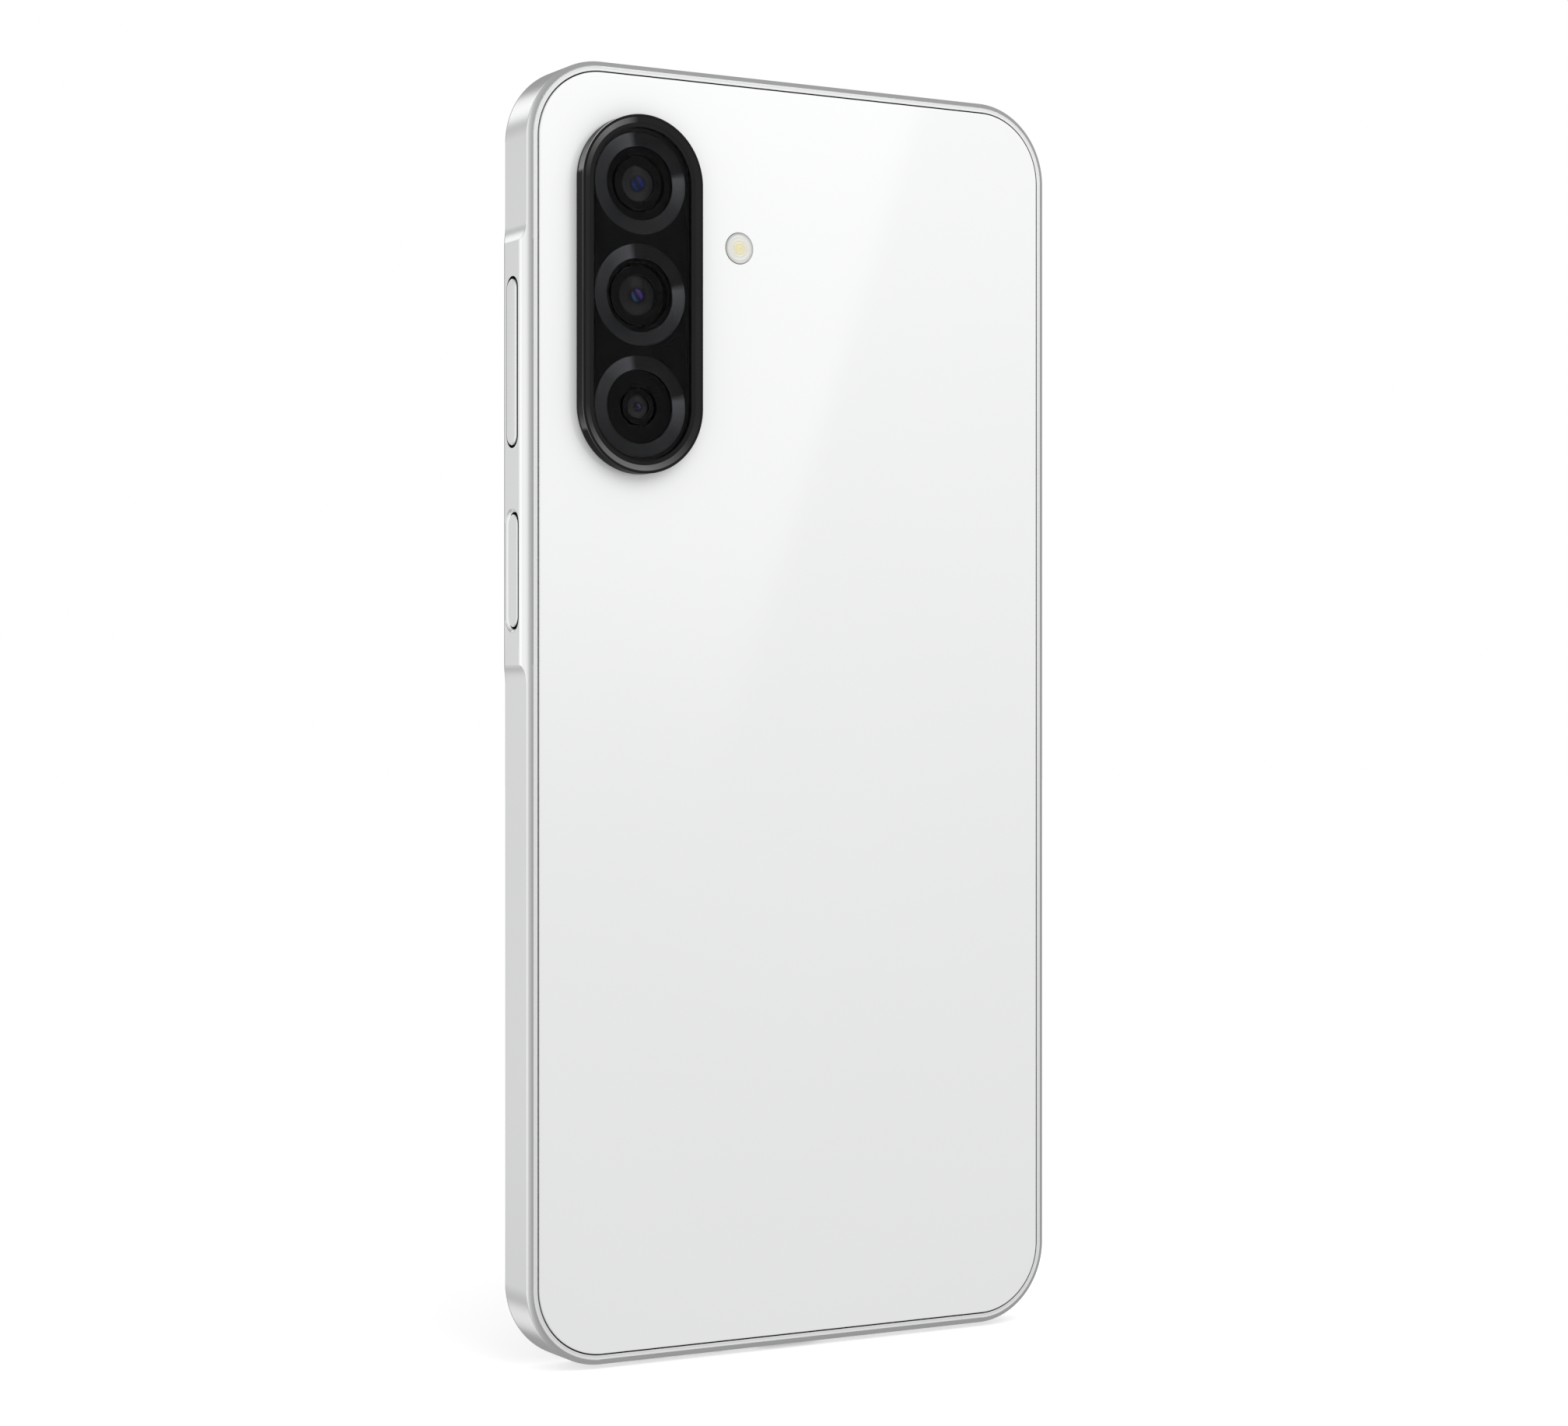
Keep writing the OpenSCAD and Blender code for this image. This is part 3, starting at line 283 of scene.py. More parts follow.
def wave(tree, value, pitch):
    """Sine of a distance, once up and down in each pitch."""
    return maths(tree, "SINE", maths(tree, "MULTIPLY", value, 2 * math.pi / pitch))


def spread(tree, value, low, high, from_low=0.3, from_high=0.7, smooth=False):
    """Value carried from one range to another."""
    node = add(tree, "ShaderNodeMapRange", {"Value": value, "From Min": from_low, "From Max": from_high,
                                            "To Min": low, "To Max": high})
    if smooth:
        node.interpolation_type = "SMOOTHSTEP"
    return node.outputs["Result"]


def mixed(tree, share, a, b):
    """Colour between a, where the share is 0, and b, where it is 1."""
    return add(tree, "ShaderNodeMix", {0: share, 6: a, 7: b}, data_type="RGBA").outputs[2]


def shaded(colour, share):
    """Colour times a share, with the fourth number that a colour socket takes."""
    return (colour[0] * share, colour[1] * share, colour[2] * share, 1.0)


def build_grain():
    """Fine grain: a height for bumps from two sizes of noise, and the roughness that goes with it."""
    tree, entry, end = group("fine_grain", {"Scale": 20.0, "Roughness": 0.4, "Spread": 0.05}, ["Height", "Roughness"])
    where = place_mm(tree)
    fine = speckle(tree, where, entry.outputs["Scale"])
    broad = speckle(tree, where, maths(tree, "MULTIPLY", entry.outputs["Scale"], 0.08))
    tree.links.new(maths(tree, "ADD", fine, maths(tree, "MULTIPLY", broad, 0.5)), end.inputs["Height"])
    swing = maths(tree, "MULTIPLY", maths(tree, "SUBTRACT", broad, 0.5), entry.outputs["Spread"])
    tree.links.new(maths(tree, "ADD", entry.outputs["Roughness"], swing), end.inputs["Roughness"])
    return tree


def build_cloud():
    """Slow change of tone: a colour that drifts between two over a distance in millimetres."""
    tree, entry, end = group("slow_tone", {"Color A": (1, 1, 1, 1), "Color B": (0.9, 0.9, 0.9, 1), "Distance": 10.0},
                             ["Color"])
    noise = speckle(tree, place_mm(tree), maths(tree, "DIVIDE", 1.0, entry.outputs["Distance"]), 3.0)
    colour = mixed(tree, spread(tree, noise, 0.0, 1.0), entry.outputs["Color A"], entry.outputs["Color B"])
    tree.links.new(colour, end.inputs["Color"])
    return tree


def build_lines():
    """Straight rolling or brushing lines along one axis: a height, and a mask of the deeper scratches."""
    tree, entry, end = group("drawn_lines", {"Across X": 1.0, "Across Y": 1.0, "Across Z": 1.0}, ["Height", "Mask"])
    where = place_mm(tree)
    stretch = add(tree, "ShaderNodeCombineXYZ", {0: entry.outputs[0], 1: entry.outputs[1], 2: entry.outputs[2]})
    lines = add(tree, "ShaderNodeVectorMath", {0: where, 1: stretch.outputs[0]}, operation="MULTIPLY").outputs[0]
    noise = speckle(tree, lines, 1.0, 4.0)
    tree.links.new(noise, end.inputs["Height"])
    tree.links.new(spread(tree, noise, 0.0, 1.0, 0.62, 0.72), end.inputs["Mask"])
    return tree


GRAIN, CLOUD, LINES = build_grain(), build_cloud(), build_lines()


# ---------------------------------------------------------------- materials

def material(name, metallic=0.0, coat=0.0, **fixed):
    """Material with a Principled shader, whose unchanging values are set on its own sockets."""
    mat = bpy.data.materials.new(name)
    mat.use_nodes = True
    shader = mat.node_tree.nodes["Principled BSDF"]
    shader.inputs["Metallic"].default_value = metallic
    shader.inputs["Coat Weight"].default_value = coat
    for key, value in fixed.items():
        shader.inputs[key.replace("_", " ")].default_value = value
    return mat, mat.node_tree, shader


def bump(tree, shader, height, distance, strength=0.5):
    """Bump of a depth in millimetres, into the shader's normal."""
    node = add(tree, "ShaderNodeBump", {"Height": height, "Distance": distance * MM, "Strength": strength})
    tree.links.new(node.outputs["Normal"], shader.inputs["Normal"])


def grained(name, colour, rough, scale=20.0, depth=0.002, spread_rough=0.08, tone=0.93, distance=9.0, **fixed):
    """Material with slow tone drift and fine grain: the base of most finishes here."""
    mat, tree, shader = material(name, **fixed)
    cloud = add(tree, "ShaderNodeGroup", node_tree=CLOUD)
    cloud.inputs["Color A"].default_value = shaded(colour, 1.0)
    cloud.inputs["Color B"].default_value = shaded(colour, tone)
    cloud.inputs["Distance"].default_value = distance
    tree.links.new(cloud.outputs["Color"], shader.inputs["Base Color"])
    grain = add(tree, "ShaderNodeGroup", node_tree=GRAIN)
    grain.inputs["Scale"].default_value = scale
    grain.inputs["Roughness"].default_value = rough
    grain.inputs["Spread"].default_value = spread_rough
    tree.links.new(grain.outputs["Roughness"], shader.inputs["Roughness"])
    bump(tree, shader, grain.outputs["Height"], depth)
    return mat, tree, shader, cloud.outputs["Color"], grain


def recolour(tree, shader, base, mask, colour):
    """Puts a second colour where the mask is 1."""
    tree.links.new(mixed(tree, mask, base, shaded(colour, 1.0)), shader.inputs["Base Color"])


def separate(tree, vector):
    """X, Y and Z of a vector."""
    return add(tree, "ShaderNodeSeparateXYZ", {0: vector}).outputs


def drawn(name, colour, rough, across, depth=0.002, **fixed):
    """Rolled or brushed metal: lines along one axis over the usual grain."""
    mat, tree, shader, base, grain = grained(name, colour, rough, 12.0, depth, **fixed)
    lines = add(tree, "ShaderNodeGroup", node_tree=LINES)
    for k in range(3):
        lines.inputs[k].default_value = across[k]
    recolour(tree, shader, base, maths(tree, "MULTIPLY", lines.outputs["Mask"], 0.5), tuple(0.8 * c for c in colour))
    both = maths(tree, "ADD", grain.outputs["Height"], maths(tree, "MULTIPLY", lines.outputs["Height"], 2.0))
    bump(tree, shader, both, depth)
    return mat


def radius_from(tree, centre, axis=1):
    """Distance in millimetres from an axis through a centre, and the angle about it in turns."""
    xyz = separate(tree, place_mm(tree, centre))
    a, b = {1: (xyz[0], xyz[2]), 0: (xyz[1], xyz[2]), 2: (xyz[0], xyz[1])}[axis]
    squared = maths(tree, "ADD", maths(tree, "MULTIPLY", a, a), maths(tree, "MULTIPLY", b, b))
    return maths(tree, "SQRT", squared), maths(tree, "DIVIDE", maths(tree, "ARCTAN2", b, a), 2 * math.pi)


def ramp(tree, value, stops, blend="LINEAR"):
    """Colour ramp with stops of (place, colour)."""
    node = add(tree, "ShaderNodeValToRGB", {"Fac": value})
    node.color_ramp.interpolation = blend
    while len(node.color_ramp.elements) < len(stops):
        node.color_ramp.elements.new(0.5)
    for element, (place, colour) in zip(node.color_ramp.elements, stops):
        element.position = place
        element.color = tuple(colour) + (1.0,)
    return node.outputs["Color"]


def lacquered_frame():
    """Satin silver-white lacquer on the frame, with a fine pearl grain."""
    return grained("satin_white_frame", (0.80, 0.81, 0.805), 0.21, 30.0, 0.00012, 0.04, 0.985, 25.0, metallic=0.85)[0]


def rim_plastic():
    """White moulded rim beside the glass, a little duller than the lacquer."""
    return grained("white_rim_plastic", (0.78, 0.79, 0.785), 0.32, 35.0, 0.0002, 0.05, 0.985, 20.0)[0]


def rear_glass_finish():
    """White paint under clear glass: slow tone, and faint smears in the roughness of the glass."""
    return grained("white_back_glass", (0.865, 0.875, 0.87), 0.045, 1.2, 0.00002, 0.035, 0.992, 40.0,
                   Specular_IOR_Level=0.5)[0]


def painted_sheen_ring(name, centre):
    """Turned dark metal: fine circular lines, and two lighter sectors of painted highlight, standing in for the sheen
    of the turned metal, that fade round the ring.
    """
    mat, tree, shader, base, grain = grained(name, (0.03, 0.031, 0.033), 0.3, 30.0, 0.0005, 0.08, 0.9, 4.0,
                                             metallic=0.2, Specular_IOR_Level=0.1)
    radius, turn = radius_from(tree, centre)
    share = maths(tree, "FRACT", maths(tree, "ADD", turn, 1.0))
    dark, mid, light = (0.007, 0.0072, 0.008), (0.03, 0.031, 0.033), (0.098, 0.101, 0.106)
    # Painted sheen: base colour lighter and darker by the angle about the ring's axis
    tone = ramp(tree, share, [
        (0.0, mid), (0.10, tuple(1.5 * c for c in mid)), (0.205, light), (0.232, dark), (0.30, dark), (0.452, dark),
        (0.476, light), (0.60, mid), (0.72, (0.02, 0.0205, 0.0215)), (0.86, (0.016, 0.0165, 0.0175)), (1.0, mid)])
    lines = wave(tree, radius, 0.09)
    tree.links.new(mixed(tree, 0.9, base, tone), shader.inputs["Base Color"])
    bump(tree, shader, lines, 0.0012, 0.6)
    return mat


def bevel_painted_sheen(name, upper, lower, top_stops, low_stops, shine=0.1):
    """Polished black bevel of the island with painted sheen: its tone turns with the angle about the island's upper
    and lower ends, painted into the base colour in place of reflections.
    """
    mat, tree, shader, base, grain = grained(name, (0.03, 0.029, 0.028), 0.3, 30.0, 0.0002, 0.05, 0.92, 4.0,
                                             metallic=2 * shine, Specular_IOR_Level=shine)
    tones = []
    for centre, stops in ((upper, top_stops), (lower, low_stops)):
        radius, turn = radius_from(tree, centre)
        share = maths(tree, "FRACT", maths(tree, "ADD", turn, 1.25))
        tones.append(ramp(tree, share, [(place, (v, 0.99 * v, 0.98 * v)) for place, v in stops]))
    z = separate(tree, place_mm(tree, ((upper[0] + lower[0]) / 2, 0, (upper[2] + lower[2]) / 2)))[2]
    tone = mixed(tree, maths(tree, "GREATER_THAN", z, 0.0), tones[1], tones[0])
    tree.links.new(mixed(tree, 0.92, base, tone), shader.inputs["Base Color"])
    return mat


def lens_coating_painted_glow(name, centre, reach, pupil, blue, violet, seat):
    """Coated front lens: black glass, a grey seat, and a small pupil with a painted reflection of the coating, blue
    on one side and violet beyond; the whole face also glows faintly as painted light.
    """
    mat, tree, shader = material(name, Roughness=0.05, Specular_IOR_Level=0.1)
    radius, turn = radius_from(tree, centre)
    xyz = separate(tree, place_mm(tree, centre))
    noise = speckle(tree, place_mm(tree, centre), 1.6)
    wobble = maths(tree, "MULTIPLY", maths(tree, "SUBTRACT", noise, 0.5), 0.25)
    # Painted reflection: from 0 at the lower key side of the pupil to 1 at its upper far side, blue turning to violet
    lean = maths(tree, "ADD", maths(tree, "MULTIPLY", xyz[0], -0.42 / pupil),
                 maths(tree, "MULTIPLY", xyz[2], 0.28 / pupil))
    lean = maths(tree, "ADD", maths(tree, "ADD", lean, 0.5), wobble)
    dark = (0.004, 0.004, 0.012)
    tint = ramp(tree, lean, [
        (0.0, blue), (0.22, tuple(0.8 * c for c in blue)), (0.40, dark), (0.55, tuple(0.3 * c for c in violet)),
        (0.74, violet), (1.0, tuple(0.5 * c for c in violet))])
    black = (0.002, 0.002, 0.0022)
    around = ramp(tree, maths(tree, "DIVIDE", radius, reach), [
        (0.0, black), (0.38, (0.006, 0.006, 0.007)), (0.52, tuple(0.8 * c for c in seat)), (0.62, seat),
        (0.74, tuple(0.8 * c for c in seat)), (0.82, seat), (0.97, tuple(0.7 * c for c in seat)), (1.0, black)])
    mask = spread(tree, radius, 1.0, 0.0, 0.72 * pupil, pupil, True)
    tone = mixed(tree, mask, around, tint)
    tree.links.new(tone, shader.inputs["Base Color"])
    # Painted glow: the lens colour also feeds the emission, though the lens is no lamp
    tree.links.new(tone, shader.inputs["Emission Color"])
    shader.inputs["Emission Strength"].default_value = 0.25
    return mat


def clear_glass(name, tint, rough, bend):
    """Clear glass; the camera window has a low bend because it is coated against glare."""
    mat, tree, shader = material(name, Transmission_Weight=1.0, IOR=bend)
    cloud = add(tree, "ShaderNodeGroup", node_tree=CLOUD)
    cloud.inputs["Color A"].default_value = shaded(tint, 1.0)
    cloud.inputs["Color B"].default_value = shaded(tint, 0.99)
    cloud.inputs["Distance"].default_value = 12.0
    tree.links.new(cloud.outputs["Color"], shader.inputs["Base Color"])
    grain = add(tree, "ShaderNodeGroup", node_tree=GRAIN)
    grain.inputs["Scale"].default_value = 1.5
    grain.inputs["Roughness"].default_value = rough
    grain.inputs["Spread"].default_value = 0.01
    tree.links.new(grain.outputs["Roughness"], shader.inputs["Roughness"])
    return mat


def board_finish(name):
    """Green solder mask over copper: traces from stretched cells."""
    mat, tree, shader, base, grain = grained(name, (0.01, 0.085, 0.045), 0.35, 14.0, 0.004, 0.1, 0.7, 3.0)
    where = place_mm(tree)
    cells = add(tree, "ShaderNodeTexVoronoi", {"Vector": where, "Scale": 0.9}, distance="MANHATTAN", feature="F1")
    nested = maths(tree, "FRACT", maths(tree, "MULTIPLY", cells.outputs["Distance"], 5.0))
    traces = spread(tree, nested, 0.0, 1.0, 0.82, 0.9)
    recolour(tree, shader, base, maths(tree, "MULTIPLY", traces, 0.6), (0.03, 0.2, 0.09))
    bump(tree, shader, maths(tree, "ADD", grain.outputs["Height"], traces), 0.01)
    return mat


def ribbon_finish():
    """Amber film over copper tracks that run along Z."""
    mat, tree, shader, base, grain = grained("amber_ribbon", (0.42, 0.19, 0.04), 0.3, 10.0, 0.002, 0.08, 0.85, 5.0,
                                             coat=0.4)
    xyz = separate(tree, place_mm(tree))
    tracks = spread(tree, wave(tree, maths(tree, "ADD", xyz[0], xyz[1]), 0.6),
                    0.0, 1.0, 0.1, 0.3)
    recolour(tree, shader, base, maths(tree, "MULTIPLY", tracks, 0.7), (0.6, 0.27, 0.08))
    bump(tree, shader, maths(tree, "ADD", grain.outputs["Height"], tracks), 0.01)
    return mat


def coil_finish(centre):
    """Copper windings: square spirals seen as nested lines."""
    mat, tree, shader, base, grain = grained("copper_winding", (0.5, 0.23, 0.1), 0.3, 12.0, 0.002, 0.1, 0.8, 6.0,
                                             metallic=0.8)
    xyz = separate(tree, place_mm(tree, centre))
    far = maths(tree, "MAXIMUM", maths(tree, "ABSOLUTE", xyz[0]), maths(tree, "ABSOLUTE", xyz[2]))
    gaps = spread(tree, wave(tree, far, 0.8), 0.0, 1.0, 0.3, 0.5)
    recolour(tree, shader, base, gaps, (0.03, 0.02, 0.015))
    bump(tree, shader, maths(tree, "SUBTRACT", grain.outputs["Height"], gaps), 0.02)
    return mat


def weave_finish(name, colour, pitch):
    """Woven wire cloth: two crossed sets of threads."""
    mat, tree, shader, base, grain = grained(name, colour, 0.5, 30.0, 0.002, 0.1, 0.8, 2.0, metallic=0.4)
    xyz = separate(tree, place_mm(tree))
    a = wave(tree, xyz[0], pitch)
    b = wave(tree, maths(tree, "ADD", xyz[1], xyz[2]), pitch)
    holes = spread(tree, maths(tree, "MULTIPLY", a, b), 0.0, 1.0, 0.2, 0.5)
    recolour(tree, shader, base, holes, (0.004, 0.004, 0.004))
    bump(tree, shader, maths(tree, "SUBTRACT", grain.outputs["Height"], holes), 0.03)
    return mat


def pouch_finish():
    """Black wrap on the cell, with the soft dents of foil and a plain grey panel on it."""
    mat, tree, shader, base, grain = grained("battery_wrap", (0.045, 0.045, 0.05), 0.38, 1.2, 0.03, 0.12, 0.8, 12.0)
    xyz = separate(tree, place_mm(tree, middle("battery")))
    inside = maths(tree, "MULTIPLY", maths(tree, "LESS_THAN", maths(tree, "ABSOLUTE", xyz[0]), 22.0),
                   maths(tree, "LESS_THAN", maths(tree, "ABSOLUTE", xyz[2]), 34.0))
    recolour(tree, shader, base, maths(tree, "MULTIPLY", inside, 0.8), (0.16, 0.16, 0.17))
    return mat


def flash_finish(centre):
    """Cloudy window: pale rim, fine ripples, and the warm phosphor showing in the middle."""
    mat, tree, shader, base, grain = grained("flash_window", (0.72, 0.71, 0.66), 0.12, 25.0, 0.001, 0.05, 0.97, 2.0,
                                             coat=1.0)
    radius, turn = radius_from(tree, centre)
    tone = ramp(tree, maths(tree, "DIVIDE", radius, 2.0),
                [(0.0, (0.78, 0.70, 0.36)), (0.30, (0.76, 0.70, 0.42)), (0.48, (0.74, 0.72, 0.62)),
                 (0.80, (0.70, 0.70, 0.68)), (0.93, (0.50, 0.50, 0.50)), (1.0, (0.36, 0.36, 0.36))])
    tree.links.new(mixed(tree, 0.92, base, tone), shader.inputs["Base Color"])
    bump(tree, shader, wave(tree, radius, 0.3), 0.006)
    return mat


def panel_finish():
    """Dark screen panel: faint rows of cells under the cover glass."""
    mat, tree, shader, base, grain = grained("dark_panel", (0.006, 0.0065, 0.008), 0.22, 20.0, 0.0004, 0.05, 0.85,
                                             30.0, coat=0.5)
    xyz = separate(tree, place_mm(tree))
    cells = maths(tree, "MULTIPLY", wave(tree, xyz[0], 0.12),
                  wave(tree, xyz[2], 0.12))
    recolour(tree, shader, base, spread(tree, cells, 0.0, 0.35, 0.0, 1.0), (0.012, 0.012, 0.016))
    return mat


frame_finish = lacquered_frame()
rim_finish = rim_plastic()
# Near-black finish used as painted shade in the recess round the glass and in the gaps of the keys
painted_shade_finish = grained("painted_shade_seam", (0.012, 0.012, 0.013), 0.5, 30.0, 0.002, 0.1, 0.85, 5.0)[0]
black_ink = grained("black_ink", (0.004, 0.004, 0.0044), 0.3, 30.0, 0.0002, 0.06, 0.9, 6.0,
                    Specular_IOR_Level=0.03)[0]
bezel_finish = grained("gloss_black_bezel", (0.011, 0.011, 0.0112), 0.16, 30.0, 0.0001, 0.04, 0.9, 6.0,
                       Specular_IOR_Level=0.06)[0]
tube_finish = grained("lens_tube_black", (0.004, 0.004, 0.0045), 0.42, 30.0, 0.001, 0.1, 0.85, 3.0,
                      Specular_IOR_Level=0.05)[0]
steel_finish = drawn("stamped_steel", (0.56, 0.56, 0.57), 0.3, (0.5, 14.0, 14.0), 0.002, metallic=1.0)
plate_finish = drawn("rolled_plate", (0.5, 0.51, 0.52), 0.35, (6.0, 6.0, 0.2), 0.003, metallic=1.0)
adhesive_finish = grained("foam_tape", (0.014, 0.014, 0.014), 0.8, 8.0, 0.02, 0.1, 0.8, 3.0)[0]
cover_finish = grained("moulded_black", (0.025, 0.025, 0.027), 0.5, 9.0, 0.01, 0.12, 0.8, 6.0)[0]
graphite_finish = drawn("graphite_film", (0.06, 0.06, 0.065), 0.45, (0.3, 3.0, 3.0), 0.004, metallic=0.3)
film_finish = grained("formed_film", (0.4, 0.4, 0.42), 0.3, 6.0, 0.01, 0.1, 0.85, 3.0, coat=0.4)[0]
tungsten_finish = grained("heavy_alloy", (0.3, 0.29, 0.28), 0.4, 16.0, 0.006, 0.12, 0.8, 2.0, metallic=1.0)[0]
gold_finish = grained("gold_contacts", (0.75, 0.5, 0.18), 0.25, 20.0, 0.001, 0.08, 0.92, 2.0, metallic=1.0)[0]
led_finish = grained("phosphor", (0.85, 0.62, 0.12), 0.6, 18.0, 0.004, 0.1, 0.9, 1.5)[0]
glass_finish = rear_glass_finish()
lens_window = clear_glass("camera_window", (0.95, 0.95, 0.96), 0.012, 1.06)
cover_glass = clear_glass("screen_cover_glass", (0.93, 0.94, 0.95), 0.015, 1.5)

for slot_nodes, finish in (
        (("mid_plate",), plate_finish),
        (("rear_cover_adhesive", "display_adhesive"), adhesive_finish),
        (("display_panel",), panel_finish()),
        (("display_flex", "key_flex", "battery_flex", "main_flex"), ribbon_finish()),
        (("wide_camera_housing", "ultrawide_camera", "macro_camera", "front_camera", "light_sensor",
          "fingerprint_sensor", "wide_camera_barrel"), tube_finish),
        (("flash_led",), led_finish),
        (("key_retainer", "shield_front", "shield_rear", "motor_case", "sim_socket", "sim_eject_rod",
          "sim_eject_lever", "bottom_microphone", "top_microphone", "screws", "usb_shell"), steel_finish),
        (("main_board",), board_finish("main_board_mask")),
        (("sub_board",), board_finish("lower_board_mask")),
        (("upper_cover", "lower_cover", "loudspeaker_case", "earpiece_case", "usb_tongue", "antenna_cable"),
         cover_finish),
        (("nfc_coil",), coil_finish(middle("nfc_coil"))),
        (("battery",), pouch_finish()),
        (("graphite_sheet",), graphite_finish),
        (("loudspeaker_diaphragm", "earpiece_diaphragm"), film_finish),
        (("speaker_mesh",), weave_finish("speaker_cloth", (0.05, 0.05, 0.05), 0.16)),
        (("earpiece_mesh",), weave_finish("earpiece_cloth", (0.05, 0.05, 0.05), 0.12)),
        (("motor_rotor",), tungsten_finish),
        (("side_frame", "volume_key", "power_key", "sim_tray"), frame_finish),
        (("rear_cover",), glass_finish),
        (("camera_bezel",), bezel_finish),
        (("camera_gasket", "display_glass", "camera_glass", "camera_ring_top", "camera_ring_middle",
          "camera_ring_bottom", "wide_camera_lens", "ultrawide_lens", "macro_lens", "front_camera_lens",
          "flash_lens"), black_ink)):
    for node in slot_nodes:
        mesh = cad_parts[node].data
        mesh.materials.clear()
        mesh.materials.append(finish)


# ---------------------------------------------------------------- side frame

ramp_r = 4.5
ramp_run = math.sqrt(ramp_r ** 2 - (ramp_r - 0.01 - mill) ** 2)


def ridge_height(z):
    """Height of the key ridge over the side flat: full between its ends, then down a hollow arc outside each."""
    past = np.maximum(ridge_ends[0] - z, z - ridge_ends[1])
    hollow = ramp_r - 0.01 - np.sqrt(ramp_r ** 2 - np.clip(ramp_run - past, 0, ramp_run) ** 2)
    return np.where(past <= 0, mill, np.clip(hollow, 0, mill))


volume_low, volume_high = box_mm("volume_key")
power_low, power_high = box_mm("power_key")
volume_z, power_z = (volume_low[2] + volume_high[2]) / 2, (power_low[2] + power_high[2]) / 2
flange_end = 0.9
volume_len = volume_high[2] - volume_low[2] - 2 * flange_end
power_len = power_high[2] - power_low[2] - 2 * flange_end
key_w = power_high[1] - power_low[1] - 0.9
ridge_ends = (power_z - power_len / 2 - 4.7, volume_z + volume_len / 2 + 4.6)


def frame_path():
    """The phone's outline, with extra points up the key side where the ridge starts and ends."""
    points, normals = outline(2 * half_w, body_h, corner_r, 36)
    run = np.linspace(0, ramp_run, 25)
    extra = np.concatenate([ridge_ends[0] - run[::-1], ridge_ends[1] + run]) - body_h / 2
    side = np.stack([np.full_like(extra, half_w), extra], -1)
    points = np.concatenate([side, points])
    normals = np.concatenate([np.tile([1.0, 0.0], (len(extra), 1)), normals])
    return points, normals


def frame_sections(height):
    """Closed section of the frame for each ridge height: out from the side flat, and level through the phone.

    Half of it goes from the recess of the rear glass over a flat rim with a hairline groove, down a small
    step, round an arc of radius 1.8 that is cut off at the side, and along the flat. The other half mirrors it."""
    band_out = -0.70
    groove = -0.97
    top = [(-rim_inset, rim_y - 0.04), (-rim_inset + 0.04, rim_y), (groove - 0.09, rim_y),
           (groove - 0.05, rim_y - 0.05), (groove + 0.05, rim_y - 0.05), (groove + 0.09, rim_y),
           (band_out - 0.05, rim_y), (band_out, rim_y - 0.045), (band_out + 0.01, rim_y - 0.115)]
    centre_p, centre_y = mill - edge_r, rim_y - edge_r
    start = math.degrees(math.acos((band_out + 0.015 - centre_p) / edge_r))
    steps = 14
    stop = np.degrees(np.arccos(np.clip((height - centre_p) / edge_r, -1, 1)))
    share = np.linspace(0, 1, steps + 1) ** 0.9
    soft = 0.035
    angle = np.radians(start + (stop[:, None] + 1.2 - start) * share[None, :])
    arc_p = centre_p + edge_r * np.cos(angle)
    arc_y = centre_y + edge_r * np.sin(angle)
    end_y = centre_y + edge_r * np.sin(np.radians(stop))
    flat_p = np.stack([height, height], -1)
    flat_y = np.stack([end_y - soft, end_y - 0.35], -1)
    rows = len(height)
    top = np.tile(np.array(top)[None], (rows, 1, 1))
    half_p = np.concatenate([top[..., 0], arc_p, flat_p], 1)
    half_y = np.concatenate([top[..., 1], arc_y, flat_y], 1)
    inner = np.array([(-rim_inset, front_glue_high[1]), (-wall, front_glue_high[1]),
                      (-wall, glue_low[1]), (-rim_inset, glue_low[1])])
    inner = np.tile(inner[None], (rows, 1, 1))
    p = np.concatenate([half_p, half_p[:, ::-1], inner[..., 0]], 1)
    y = np.concatenate([half_y, -half_y[:, ::-1], inner[..., 1]], 1)
    return p, y


